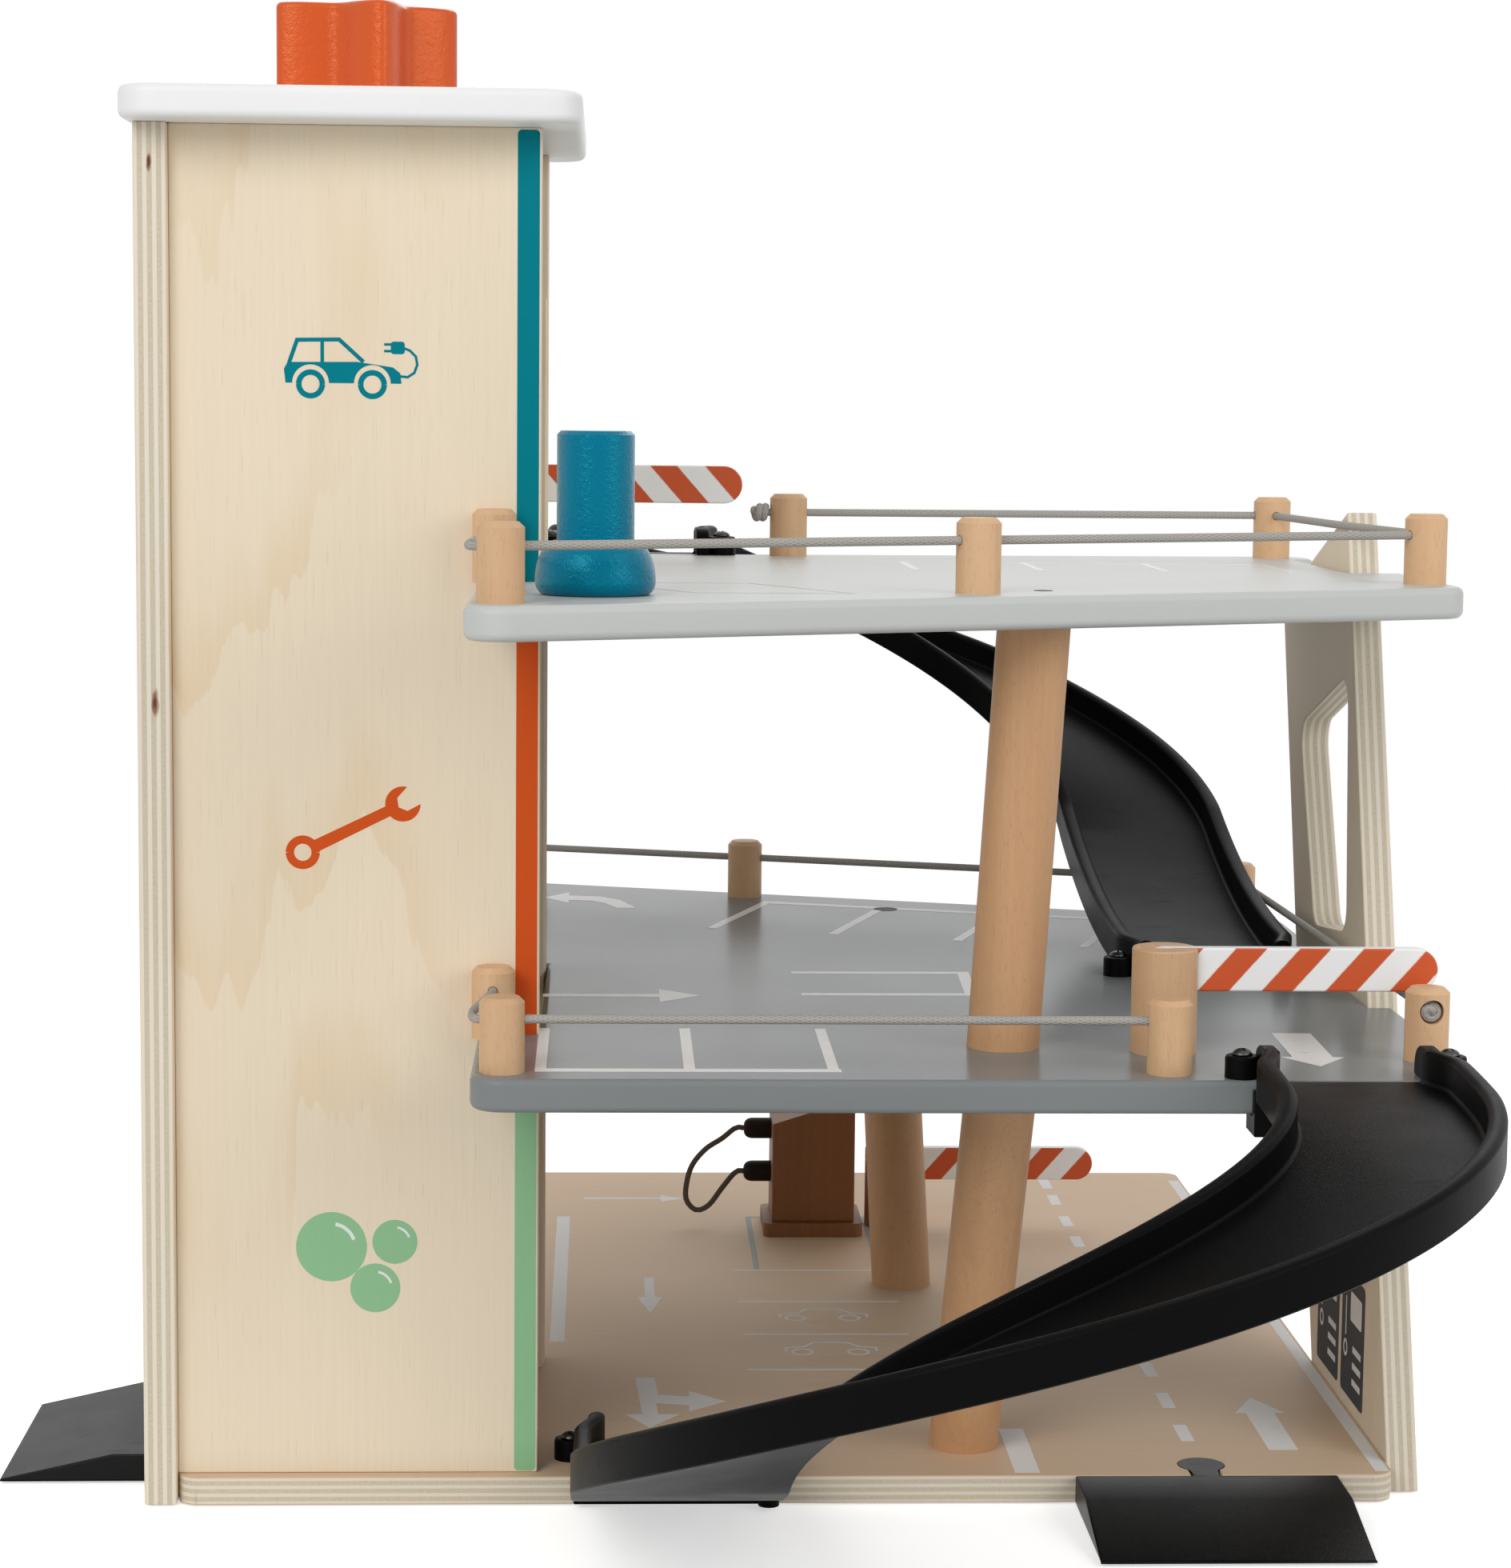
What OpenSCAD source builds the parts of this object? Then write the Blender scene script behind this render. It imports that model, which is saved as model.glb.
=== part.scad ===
// Toy parking garage: two decks, a lift tower, curved ramps, barriers and a charging station.
// Millimetres, +Z up. The origin is the middle of the base plate's underside.
// Plan positions below are measured from the base plate's left end (X) and front edge (Y).

/* [Base plate] */
// Length of the base plate along X
base_l = 345; // [335:1:360]
// Depth of the base plate along Y
base_d = 386; // [370:1:400]
// Thickness of the base plate
base_t = 8; // [7:0.5:9]
// Corner radius of the base plate
base_corner = 6; // [2:1:12]

/* [Boards] */
// Thickness of the tower panels and of the leaning wall
panel_t = 9; // [8:0.5:10]
// Thickness of both decks
deck_t = 9; // [8:0.5:10]
// Height from one floor surface to the next
storey_h = 126; // [120:1:132]
// Gap left where a board edge fits against another board
fit_gap = 0.1; // [0.05:0.05:0.3]

/* [Tower] */
// Width of the tower's side panels along X
tower_w = 101; // [99:1:103]
// Set-back of the near panel from the base's front edge
tower_set = 4; // [2:1:5]
// Clear depth of the shaft between the side panels
shaft_d = 101; // [98:1:104]
// Height of the tower's panels above the floor
tower_h = 383; // [376:1:390]
// Projection of the back panel past each side panel
back_over = 4; // [0:0.5:4]
// Width of the doorway in the back panel
door_w = 79; // [78:1:82]
// Height of the doorway
door_h = 72; // [66:1:76]
// Distance of the doorway's middle from the base's front edge
door_y = 59; // [58:0.5:62]

/* [Roof and knob] */
// Thickness of the roof board
roof_t = 9; // [8:0.5:10]
// Roof overhang past the back panel
roof_over_left = 3; // [1:1:8]
// Roof overhang past the open side
roof_over_right = 11; // [6:1:16]
// Roof overhang in front of the near panel
roof_over_near = 19; // [10:1:24]
// Roof overhang behind the far panel
roof_over_far = 23; // [10:1:30]
// Corner radius of the roof
roof_corner = 10; // [4:1:16]
// Distance of the knob's axis from the base's left end
knob_x = 48; // [46:1:50]
// Radius of the knob over its lobes
knob_r = 27.5; // [25:0.5:29]
// Depth of the hollows between the lobes
knob_hollow = 9.5; // [6:0.5:11]
// Height of the knob
knob_h = 27; // [22:0.5:30]
// Turn of the knob's first lobe from +X
knob_turn = 71; // [0:1:90]

/* [Lift] */
// Radius of the winding axle
axle_r = 4; // [3.5:0.5:4.5]
// Running clearance of the axle in its bush
axle_gap = 0.05; // [0.02:0.01:0.1]
// Outer radius of the bush in the roof
bush_r = 7; // [6.5:0.5:8]
// Radius of the bush's washer flange
bush_flange_r = 14; // [10:1:16]
// Thickness of the flange
bush_flange_t = 1; // [0.8:0.1:1.5]
// Radius of the winding drum where the cord lies
drum_r = 9; // [8:0.5:10]
// Radius of the drum's flanges
drum_flange_r = 14; // [12.5:0.5:14]
// Height of the drum
drum_h = 12; // [10:1:14]
// Thickness of each flange
drum_flange_t = 2; // [1.5:0.5:2.5]
// Distance of the drum's top below the roof
drum_drop = 17; // [15:1:18]
// Radius of the lift cord
lift_cord_r = 1.2; // [1:0.1:1.5]
// Side of the square cord guide bar
guide_bar = 10; // [8:1:11]
// Distance of the guide bar's top below the drum
guide_drop = 4; // [3:1:5]
// Gap between the cabin and the shaft all round
lift_gap = 0.6; // [0.4:0.1:1]
// Thickness of the cabin floor
lift_floor_t = 3; // [3:0.5:4]
// Thickness of the cabin sides
lift_side_t = 6; // [5:0.5:7]
// Thickness of the cabin top
lift_top_t = 6; // [5:0.5:7]
// Clear height inside the cabin
lift_clear_h = 65; // [60:1:65]
// Width of each guide strip along X
strip_w = 5; // [4:0.5:6]
// Thickness of each guide strip
strip_t = 4; // [3:0.5:5]

/* [Decks] */
// Reach of the decks in front of the tower, from its open side to the left
deck_lap = 17; // [13:1:19]
// Reach of the decks behind the tower, from its open side to the left
deck_lap_far = 23; // [22:1:25]
// Outer corner radius of the decks
deck_corner = 9; // [4:1:10]
// Near edge of the middle deck
mid_near = -62.5; // [-64:0.5:-60]
// Right edge of the middle deck
mid_right = 352; // [351:1:354]
// Far edge of the middle deck at its right end
mid_far_right = 223; // [220:1:228]
// Far edge of the middle deck at its left end
mid_far_left = 312; // [309:1:316]
// Near edge of the upper deck at its left end
up_near_left = -114; // [-118:1:-112]
// Near edge of the upper deck at its right end
up_near_right = 14; // [10:1:15]
// Right edge of the upper deck
up_right = 361; // [360.5:0.5:364]
// Right edge of the upper deck behind the wall
up_right_far = 352; // [350:1:354]
// Far edge of the upper deck at its right end
up_far_right = 200; // [198:1:206]

/* [Leaning wall] */
// Lean of the wall from upright
wall_lean = 18.5; // [17.5:0.5:19]
// Width of the wall across its lean
wall_w = 101.5; // [98:0.5:103]
// Near foot of the wall, from the base's front edge
wall_near = 8.5; // [7:0.5:10]
// Height of the wall's near top corner
wall_top = 278; // [274:1:282]
// Corner radius of the window
window_corner = 8; // [4:1:12]

/* [Columns] */
// Radius of the round columns
column_r = 10; // [9:0.5:11]

/* [Railing] */
// Radius of the railing posts
post_r = 6; // [5.5:0.5:6]
// Height of the railing posts
post_h = 20; // [19:1:23]
// Chamfer at the top of the posts
post_chamfer = 1.4; // [0.8:0.2:2]
// Height of the cross holes above the deck
hole_h = 14; // [12:0.5:15]
// Radius of the elastic railing cord
cord_r = 1.2; // [1:0.1:1.5]
// Clearance of the cord in the cross holes
cord_gap = 0.15; // [0.1:0.05:0.3]
// Radius of the knots at the cord's ends
knot_r = 3; // [2.6:0.1:3.2]

/* [Barriers] */
// Radius of the barrier posts
bar_post_r = 9; // [8.5:0.5:10]
// Height of the barrier posts
bar_post_h = 29; // [28:0.5:31]
// Height of the barrier pivot above its floor
bar_pivot_h = 23; // [22.5:0.5:23.5]
// Length of the arm from the pivot to its tip
arm_l = 75; // [70:1:75]
// Height of the arm
arm_h = 12; // [10:1:12]
// Thickness of the arm
arm_t = 4; // [3:0.5:4.5]
// Clearance of the arm in its slot
arm_gap = 0.6; // [0.4:0.1:0.8]
// Radius of the pivot pin
pin_r = 1.5; // [1.2:0.1:1.8]
// Running clearance on the pin
pin_gap = 0.05; // [0.02:0.01:0.1]
// Length of the pivot pin
pin_l = 15; // [13:1:16]

/* [Curved ramps] */
// First straight of the ramp
ramp_run_a = 39; // [37:0.5:41]
// Radius of the half turn along the middle of the ramp
ramp_bend = 88; // [86:0.5:90]
// Last straight of the ramp
ramp_run_b = 125; // [121:1:129]
// Share of the ramp over which its slope grows from level
ramp_ease_top = 0.55; // [0.5:0.01:0.6]
// Share of the ramp over which its slope fades out again
ramp_ease_foot = 0.32; // [0.25:0.01:0.35]
// Width of the ramp at its ends
ramp_w = 47.5; // [46:0.5:49]
// Extra width between the ends
ramp_flare = 8; // [6:1:9]
// Length over which the ramp widens
ramp_flare_l = 16; // [14:1:20]
// Thickness of the ramp floor
ramp_floor_t = 2.5; // [2:0.5:3]
// Height of the side rails above the ramp floor
ramp_rail_h = 9; // [8:0.5:10]
// Thickness of the side rails
ramp_rail_t = 4.8; // [4:0.2:5]
// Outer radius of the screw lugs
lug_r = 4.5; // [4.2:0.1:5]
// Height of the screw lugs
lug_h = 6; // [5:0.5:7]
// Distance of the lugs from the ramp's ends
lug_in = 6; // [5.5:0.5:7]
// Middle of the lower ramp's upper end, from the base's left end
ramp_low_x = 315; // [314:0.1:317]
// Middle of the upper ramp's upper end, from the upper deck's left end behind the tower
ramp_up_in = 50.5; // [50:0.1:52]
// Turn of the upper ramp against the lower one
ramp_up_skew = 2; // [0:0.5:3]

/* [Wedge ramps] */
// Width of the wedge ramps
wedge_w = 75; // [72:1:77]
// Length of the wedge ramps from the base's edge
wedge_l = 53; // [50:1:56]
// Length of the level part
wedge_flat = 21; // [18:1:24]
// Thickness of the low edge
wedge_lip = 0.8; // [0.6:0.1:1.2]
// Width of the tab's neck
tab_neck = 8; // [7:0.5:9]
// Radius of the tab's round head
tab_r = 6.5; // [6:0.5:7]
// Distance of the head's middle from the base's edge
tab_reach = 9.5; // [9:0.5:11]
// Clearance of the tab in its notch
tab_gap = 0.35; // [0.2:0.05:0.5]
// Middle of the front wedge, from the base's left end
wedge_x = 291; // [288:1:294]

/* [Bollard] */
// Widest radius of the bollard's bulb
bulb_r = 15.6; // [14:0.2:16]
// Height of the bulb
bulb_h = 14; // [13:0.5:16]
// Radius of the bollard's stem
stem_r = 10; // [9:0.5:10.5]
// Height of the bollard
bollard_h = 42; // [38:1:46]

/* [Charging station] */
// Left end of the charger body, from the base's left end
charger_x = 180.5; // [178:0.5:184]
// Front of the charger body, from the base's front edge
charger_y = 283; // [280:1:290]
// Width of the charger body
charger_w = 30; // [28:1:34]
// Depth of the charger body
charger_d = 26; // [24:1:30]
// Height of the charger body at its low side
charger_low = 36; // [34:1:38]
// Height of the charger body at its high side
charger_high = 45.5; // [44:0.5:48]
// Height of the plinth
plinth_t = 5; // [4:0.5:6]
// Projection of the plinth round the body
plinth_over = 3; // [2:0.5:4]
// Radius of the plugs
plug_r = 3.8; // [3.4:0.2:4]
// Length of the plugs
plug_l = 10; // [9:0.5:11]
// Height of the lower plug above the plinth
plug_low = 16; // [15:0.5:17]
// Distance between the plugs
plug_pitch = 16; // [15:0.5:16.5]
// Radius of the charging cable
cable_r = 1; // [0.8:0.1:1.2]

/* [Screws] */
// Radius of the screw shanks
screw_r = 1.4; // [1.2:0.1:1.6]
// Radius of the screw heads
screw_head_r = 2.7; // [2.4:0.1:3]
// Height of the screw heads
screw_head_h = 1.8; // [1.5:0.1:2.2]
// Length of the screw in the second piece
screw_grip = 6.5; // [5:0.5:6.5]
// Clearance round the screw shanks
screw_gap = 0.05; // [0.02:0.01:0.1]

/* [Hidden] */
$fn = 64;
// Overlap used where one shape cuts or joins another
cut = 0.5;

// Floor surfaces
mid_top = base_t + storey_h;
up_top = mid_top + storey_h;
mid_under = mid_top - deck_t;
up_under = up_top - deck_t;

// Faces of the tower
near_out = tower_set;
near_in = near_out + panel_t;
far_in = near_in + shaft_d;
far_out = far_in + panel_t;
shaft_y = (near_in + far_in) / 2;

// Left ends of the decks in front of the tower and behind it
deck_left = tower_w - deck_lap;
deck_left_far = tower_w - deck_lap_far;

// Winding gear, from the roof downward
roof_top = tower_h + roof_t;
knob_z = roof_top + bush_flange_t + 0.2;
knob_lobes = 5;
lobe_shape = 0.7;
function knob_radius(a) =
    knob_r - knob_hollow * pow((1 - cos(knob_lobes * (a - knob_turn))) / 2, lobe_shape);
drum_top = tower_h - drum_drop;
drum_z = drum_top - drum_h;
cord_z = drum_z + drum_h / 2;
guide_top = drum_z - guide_drop;
guide_z = guide_top - guide_bar;
axle_z = drum_z - 2;
axle_in_knob = 16;
lead_x = knob_x + drum_r + lift_cord_r + 0.3;
lead_y = shaft_y + drum_flange_r + lift_cord_r;
lead_bend = 4;
guide_hole_r = 2;

// Lift cabin at its lowest place
strip_x = tower_w - strip_w - 0.5;
lift_x0 = lift_gap;
lift_x1 = strip_x - lift_gap;
lift_y0 = near_in + lift_gap;
lift_y1 = far_in - lift_gap;
lift_z = base_t + 0.3;
lift_floor_z = lift_z + lift_floor_t;
lift_top_z = lift_floor_z + lift_clear_h;
eye_r = 2.6;
eye_wire = 0.9;
eye_z = lift_top_z + lift_top_t + eye_wire + 0.3 + eye_r;
eye_top = eye_z + eye_r + eye_wire;

// Leaning wall: near and far edges at height z, and its sloping top edge
function wall_near_at(z) = wall_near + z * tan(wall_lean);
function wall_far_at(z) = wall_near_at(z) + wall_w / cos(wall_lean);
function wall_top_at(z) = wall_near_at(wall_top) + (wall_top - z) / tan(wall_lean);
wall_far_top = wall_top - wall_w * sin(wall_lean);
window = [[94, 229], [165, 207], [134, 146], [86, 151]];

// Near and far edges of the decks at x
function between(x, x0, y0, x1, y1) = y0 + (y1 - y0) * (x - x0) / (x1 - x0);
function mid_far_at(x) = between(x, deck_left_far, mid_far_left, mid_right, mid_far_right);
function up_near_at(x) = between(x, deck_left, up_near_left, up_right, up_near_right);
ramp_up_x = deck_left_far + ramp_up_in;
ramp_up_y = 180.4;
function up_ramp_edge_at(x) = ramp_up_y + (x - ramp_up_x) * tan(ramp_up_skew);
up_edge_break = ramp_up_x + 36;

// Column feet and heads
column_low_foot = [224.5, 30];
column_low_head = [229, -13];
column_up_head = [235, -16];
column_far_foot = [222, 215];
column_far_head = [217, 243];

// Railing posts, tied to the deck edges they stand behind
post_in = 9;
post_tower = [deck_left + post_r - 1.5, near_out - post_r - 0.5];
mid_left_post = [deck_left + 8.3, mid_near + 11.5];
mid_front_post = [269, mid_left_post[1]];
mid_right_post = [mid_right - 9.7, mid_near + 31];
mid_far_left_post = [deck_left_far + 14, mid_far_at(deck_left_far + 14) - post_in];
mid_far_post = [169, mid_far_at(169) - post_in];
mid_far_right_post = [mid_right - 16, mid_far_at(mid_right - 16) - post_in];
up_left_post = [deck_left + 9, up_near_at(deck_left + 9) + 14];
up_right_post = [up_right - 8.5, up_near_at(up_right - 8.5) + 20];
up_front_post = between(217.5, up_left_post[0], up_left_post, up_right_post[0], up_right_post);
up_far_right_post = [up_right_far - 13.5, up_far_right - 12];
up_far_post = [up_edge_break + 13.4, up_ramp_edge_at(up_edge_break) - 8];

// The upper cord leans against the inner face of the wall where the wall rises above the deck
wall_rub = [base_l - cord_r - 0.7, 107];

// Barrier posts
bar_low = [224.6, 301];
bar_mid = [272.2, mid_near + 42];
bar_up = [deck_left_far + bar_post_r + 0.5, up_ramp_edge_at(deck_left_far) - bar_post_r - 4.5];

// Ramp path: length, and the place where its half turn ends
ramp_arc = ramp_bend * PI;
ramp_turn_end = ramp_run_a + ramp_arc;
ramp_len = ramp_turn_end + ramp_run_b;
ramp_foot_gap = 0.3;
ramp_fall = storey_h - ramp_floor_t - ramp_foot_gap;
ramp_steps = 44;
lug_bite = 0.6;
lug_out = ramp_w / 2 + lug_r - lug_bite;

// Right-hand side of a ramp that has turned by t
function ramp_right(t) = [-sin(t), -cos(t)];
function ramp_turned(s) = 180 * min(1, max(0, (s - ramp_run_a) / ramp_arc));
function ramp_at(s) =
    s < ramp_run_a ? [s, 0]
    : s < ramp_turn_end ? [ramp_run_a, 0] + ramp_bend * (ramp_right(0) - ramp_right(ramp_turned(s)))
    : [ramp_run_a + ramp_turn_end - s, -2 * ramp_bend];
ramp_end = ramp_at(ramp_len);

// Share of the fall at share u of the ramp, and a smooth step
steepest = 1 / (1 - ramp_ease_top / 2 - ramp_ease_foot / 2);
function eased(u) =
    u < ramp_ease_top ? steepest * u * u / (2 * ramp_ease_top)
    : u < 1 - ramp_ease_foot ? steepest * (u - ramp_ease_top / 2)
    : 1 - steepest * (1 - u) * (1 - u) / (2 * ramp_ease_foot);
function smooth(u) = let (c = min(1, max(0, u))) c * c * (3 - 2 * c);
function ramp_z(s) = -ramp_fall * eased(s / ramp_len);
function ramp_half(s) =
    ramp_w / 2 + ramp_flare / 2 * min(smooth(s / ramp_flare_l), smooth((ramp_len - s) / ramp_flare_l));
foot_lug_out = ramp_half(ramp_len - lug_in) + lug_r - lug_bite;

// Sections of a ramp of half width h: its floor, and a rail with broken edges whose left side is at a.
// Both have six points and begin with their underside, so that the rails lie on the floor's side strips.
rail_edge = 1.3;
function floor_section(h) = [
    [-h, -ramp_floor_t], [h, -ramp_floor_t], [h, 0], [h - ramp_rail_t, 0], [ramp_rail_t - h, 0], [-h, 0]
];
function rail_section(a) = [
    [a, 0], [a + ramp_rail_t, 0], [a + ramp_rail_t, ramp_rail_h - rail_edge],
    [a + ramp_rail_t - rail_edge, ramp_rail_h], [a + rail_edge, ramp_rail_h], [a, ramp_rail_h - rail_edge]
];
ramp_cap = [[0, 1, 3], [1, 2, 3], [0, 3, 4], [0, 4, 5]];
function ramp_ring(s, section) =
    let (p = ramp_at(s), r = ramp_right(ramp_turned(s)), z = ramp_z(s))
    [for (q = section) [p[0] + q[0] * r[0], p[1] + q[0] * r[1], z + q[1]]];
ramp_stations = [for (i = [0:ramp_steps]) ramp_len * i / ramp_steps];

// Faces of a body swept through rings of n points each, closed by the faces in cap at both ends.
// The section's first edge, its underside, is split along the other diagonal, so that it stays level
// with the top of what it lies on.
function flat(rings) = [for (ring = rings) for (p = ring) p];
function turned_over(f) = [for (k = [len(f) - 1:-1:0]) f[k]];
function swept_quad(a, b, c, d, under) = under ? [[a, b, c], [a, c, d]] : [[a, b, d], [b, c, d]];
function swept_faces(rings, n, cap) = concat(
    [for (f = cap) turned_over(f)],
    [for (i = [0:rings - 2]) for (j = [0:n - 1])
        let (a = i * n + j, b = i * n + (j + 1) % n)
        for (f = swept_quad(a, b, b + n, a + n, j == 0)) f],
    [for (f = cap) [for (k = f) (rings - 1) * n + k]]
);

// Mitred ring of a round cord at corner i of a flat path whose plane has the normal n
cord_sides = 8;
function unit(v) = v / norm(v);
function cord_ring(path, i, r, n) =
    let (
        back = i > 0 ? unit(path[i] - path[i - 1]) : unit(path[1] - path[0]),
        on = i < len(path) - 1 ? unit(path[i + 1] - path[i]) : back,
        mid = unit(back + on),
        side = cross(mid, n) / (mid * back)
    )
    [for (j = [0:cord_sides - 1])
        path[i] + r * (cos(360 * j / cord_sides) * side + sin(360 * j / cord_sides) * n)];

// Charging cable: a loop from the upper plug's end to the lower plug's end, seen from the front
plug_z = base_t + plinth_t + plug_low;
cable_y = charger_y + charger_d / 2;
cable_loop = [
    [0, 1], [-3, 1], [-8, 0.75], [-14, 0.5], [-19, 0.1], [-21, -0.4],
    [-20.5, -0.72], [-17, -0.92], [-12.5, -0.8], [-8, -0.42], [-4, -0.1], [-2, 0], [0, 0]
];
cable_path = [for (p = cable_loop) [charger_x - plug_l + p[0], cable_y, plug_z + p[1] * plug_pitch]];

// Places of the screws in the leaning wall (Y, Z) and in the back panel (Z)
wall_screws = [
    [40, base_t / 2], [95, base_t / 2], [78, mid_top - deck_t / 2], [138, mid_top - deck_t / 2],
    [110, up_top - deck_t / 2], [145, up_top - deck_t / 2]
];
back_screws = [60, 200, 340];

// Helpers

module placed() {
    translate([-base_l / 2, -base_d / 2, 0])
        children();
}

// Outline with rounded corners, from points given as [x, y, radius]
corner_steps = 6;
function corner(a, b, c, r) =
    let (
        u = unit([a[0] - b[0], a[1] - b[1]]),
        v = unit([c[0] - b[0], c[1] - b[1]]),
        half = acos(u * v) / 2,
        m = [b[0], b[1]] + unit(u + v) * r / sin(half),
        f = [b[0], b[1]] + u * r / tan(half) - m,
        t = [b[0], b[1]] + v * r / tan(half) - m,
        span = 180 - 2 * half,
        way = f[0] * t[1] - f[1] * t[0] > 0 ? 1 : -1
    )
    [for (k = [0:corner_steps])
        let (g = way * span * k / corner_steps)
        m + [f[0] * cos(g) - f[1] * sin(g), f[0] * sin(g) + f[1] * cos(g)]];
function outline(pts) =
    let (n = len(pts))
    [for (i = [0:n - 1])
        for (q = pts[i][2] > 0 ? corner(pts[(i + n - 1) % n], pts[i], pts[(i + 1) % n], pts[i][2])
            : [[pts[i][0], pts[i][1]]]) q];

module board(x0, x1, y0, y1, z0, z1) {
    translate([x0, y0, z0])
        cube([x1 - x0, y1 - y0, z1 - z0]);
}

module rounded_board(x0, x1, y0, y1, z0, z1, r) {
    translate([0, 0, z0])
        linear_extrude(z1 - z0)
            polygon(outline([[x0, y0, r], [x1, y0, r], [x1, y1, r], [x0, y1, r]]));
}

module cord(path, r, n) {
    rings = [for (i = [0:len(path) - 1]) cord_ring(path, i, r, n)];
    polyhedron(flat(rings), swept_faces(len(rings), cord_sides, [[for (j = [0:cord_sides - 1]) j]]));
}

// Screw with its head's underside at the origin and its shank along -Z
module screw(reach) {
    cylinder(h = screw_head_h, r = screw_head_r);
    translate([0, 0, -reach])
        cylinder(h = reach + cut, r = screw_r);
}

module screw_hole(reach) {
    translate([0, 0, -reach - cut])
        cylinder(h = reach + 2 * cut, r = screw_r + screw_gap);
}

// Hole for a screw whose head lies flush in the board
module sunk_hole(reach) {
    screw_hole(reach);
    translate([0, 0, -screw_head_h])
        cylinder(h = screw_head_h + cut, r = screw_head_r + screw_gap);
}

module sunk_screw(reach) {
    translate([0, 0, -screw_head_h])
        screw(reach - screw_head_h);
}

module at_wall_screws(x) {
    for (p = wall_screws)
        translate([x, p[0], p[1]])
            rotate([0, 90, 0])
                children();
}

module at_back_screws(x, y) {
    for (z = back_screws)
        translate([x, y, z])
            rotate([0, -90, 0])
                children();
}

// The far column is held by a screw through the middle deck
module at_column_screw() {
    translate([column_far_head[0], column_far_head[1], mid_top])
        children();
}

// Frames of the two ramps: origin at the middle of the upper end, +X down the ramp
module at_ramp_low() {
    translate([ramp_low_x, mid_near - fit_gap, mid_top])
        rotate([0, 0, -90])
            children();
}

module at_ramp_up() {
    translate([ramp_up_x, ramp_up_y + fit_gap, up_top])
        rotate([0, 0, 90 + ramp_up_skew])
            children();
}

module at_upper_lugs() {
    for (side = [-1, 1])
        translate([-lug_in, side * lug_out, 0])
            children();
}

module at_lower_lugs() {
    for (side = [-1, 1])
        translate([ramp_end[0] + lug_in, ramp_end[1] + side * foot_lug_out, -storey_h])
            children();
}

// Base and tower

module tab_shape(grow, reach) {
    translate([tab_reach, 0])
        circle(r = tab_r + grow);
    translate([-reach, -tab_neck / 2 - grow])
        square([tab_reach + reach, tab_neck + 2 * grow]);
}

module base_plate() {
    color("BurlyWood")
        placed()
            difference() {
                rounded_board(0, base_l, 0, base_d, 0, base_t, base_corner);
                translate([wedge_x, 0, -cut])
                    rotate([0, 0, 90])
                        linear_extrude(base_t + 2 * cut)
                            tab_shape(tab_gap, cut);
                translate([0, door_y, -cut])
                    linear_extrude(base_t + 2 * cut)
                        tab_shape(tab_gap, cut);
                at_wall_screws(base_l)
                    screw_hole(screw_grip);
                at_ramp_low()
                    at_lower_lugs()
                        screw_hole(screw_grip);
            }
}

module tower_panel(y) {
    difference() {
        board(0, tower_w, y, y + panel_t, base_t, tower_h);
        at_back_screws(0, y + panel_t / 2)
            screw_hole(screw_grip);
    }
}

module tower_panel_near() {
    color("Wheat")
        placed()
            tower_panel(near_out);
}

module tower_panel_far() {
    color("Wheat")
        placed()
            tower_panel(far_in);
}

module tower_panel_back() {
    color("Wheat")
        placed()
            difference() {
                board(-panel_t, 0, near_out - back_over, far_out + back_over, 0, tower_h);
                board(-panel_t - cut, cut, door_y - door_w / 2, door_y + door_w / 2, -cut, door_h);
                for (y = [near_out, far_in])
                    at_back_screws(-panel_t, y + panel_t / 2)
                        sunk_hole(panel_t);
            }
}

module roof() {
    color("White")
        placed()
            difference() {
                rounded_board(-panel_t - roof_over_left, tower_w + roof_over_right, near_out - roof_over_near,
                    far_out + roof_over_far, tower_h, roof_top, roof_corner);
                translate([knob_x, shaft_y, tower_h - cut])
                    cylinder(h = roof_t + 2 * cut, r = bush_r + axle_gap);
            }
}

// Winding gear

module roof_bush() {
    color("Silver")
        placed()
            translate([knob_x, shaft_y, tower_h])
                difference() {
                    union() {
                        cylinder(h = roof_t + bush_flange_t, r = bush_r);
                        translate([0, 0, roof_t])
                            cylinder(h = bush_flange_t, r = bush_flange_r);
                    }
                    translate([0, 0, -cut])
                        cylinder(h = roof_t + bush_flange_t + 2 * cut, r = axle_r + axle_gap);
                }
}

module winding_knob() {
    step = 4;
    color("OrangeRed")
        placed()
            translate([knob_x, shaft_y, knob_z])
                difference() {
                    linear_extrude(knob_h)
                        polygon([for (a = [0:step:360 - step]) knob_radius(a) * [cos(a), sin(a)]]);
                    translate([0, 0, -cut])
                        cylinder(h = axle_in_knob + axle_gap + cut, r = axle_r + axle_gap);
                }
}

module winding_axle() {
    color("Silver")
        placed()
            translate([knob_x, shaft_y, axle_z])
                cylinder(h = knob_z + axle_in_knob - axle_z, r = axle_r);
}

module winding_drum() {
    color("BurlyWood")
        placed()
            translate([knob_x, shaft_y, drum_z])
                difference() {
                    union() {
                        cylinder(h = drum_h, r = drum_r);
                        cylinder(h = drum_flange_t, r = drum_flange_r);
                        translate([0, 0, drum_h - drum_flange_t])
                            cylinder(h = drum_flange_t, r = drum_flange_r);
                    }
                    translate([0, 0, -cut])
                        cylinder(h = drum_h + 2 * cut, r = axle_r + axle_gap);
                }
}

module cord_guide_bar() {
    color("BurlyWood")
        placed()
            difference() {
                board(lead_x - guide_bar / 2, lead_x + guide_bar / 2, near_in, far_in, guide_z, guide_top);
                translate([lead_x, lead_y, guide_z - cut])
                    cylinder(h = guide_bar + 2 * cut, r = guide_hole_r);
            }
}

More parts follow.
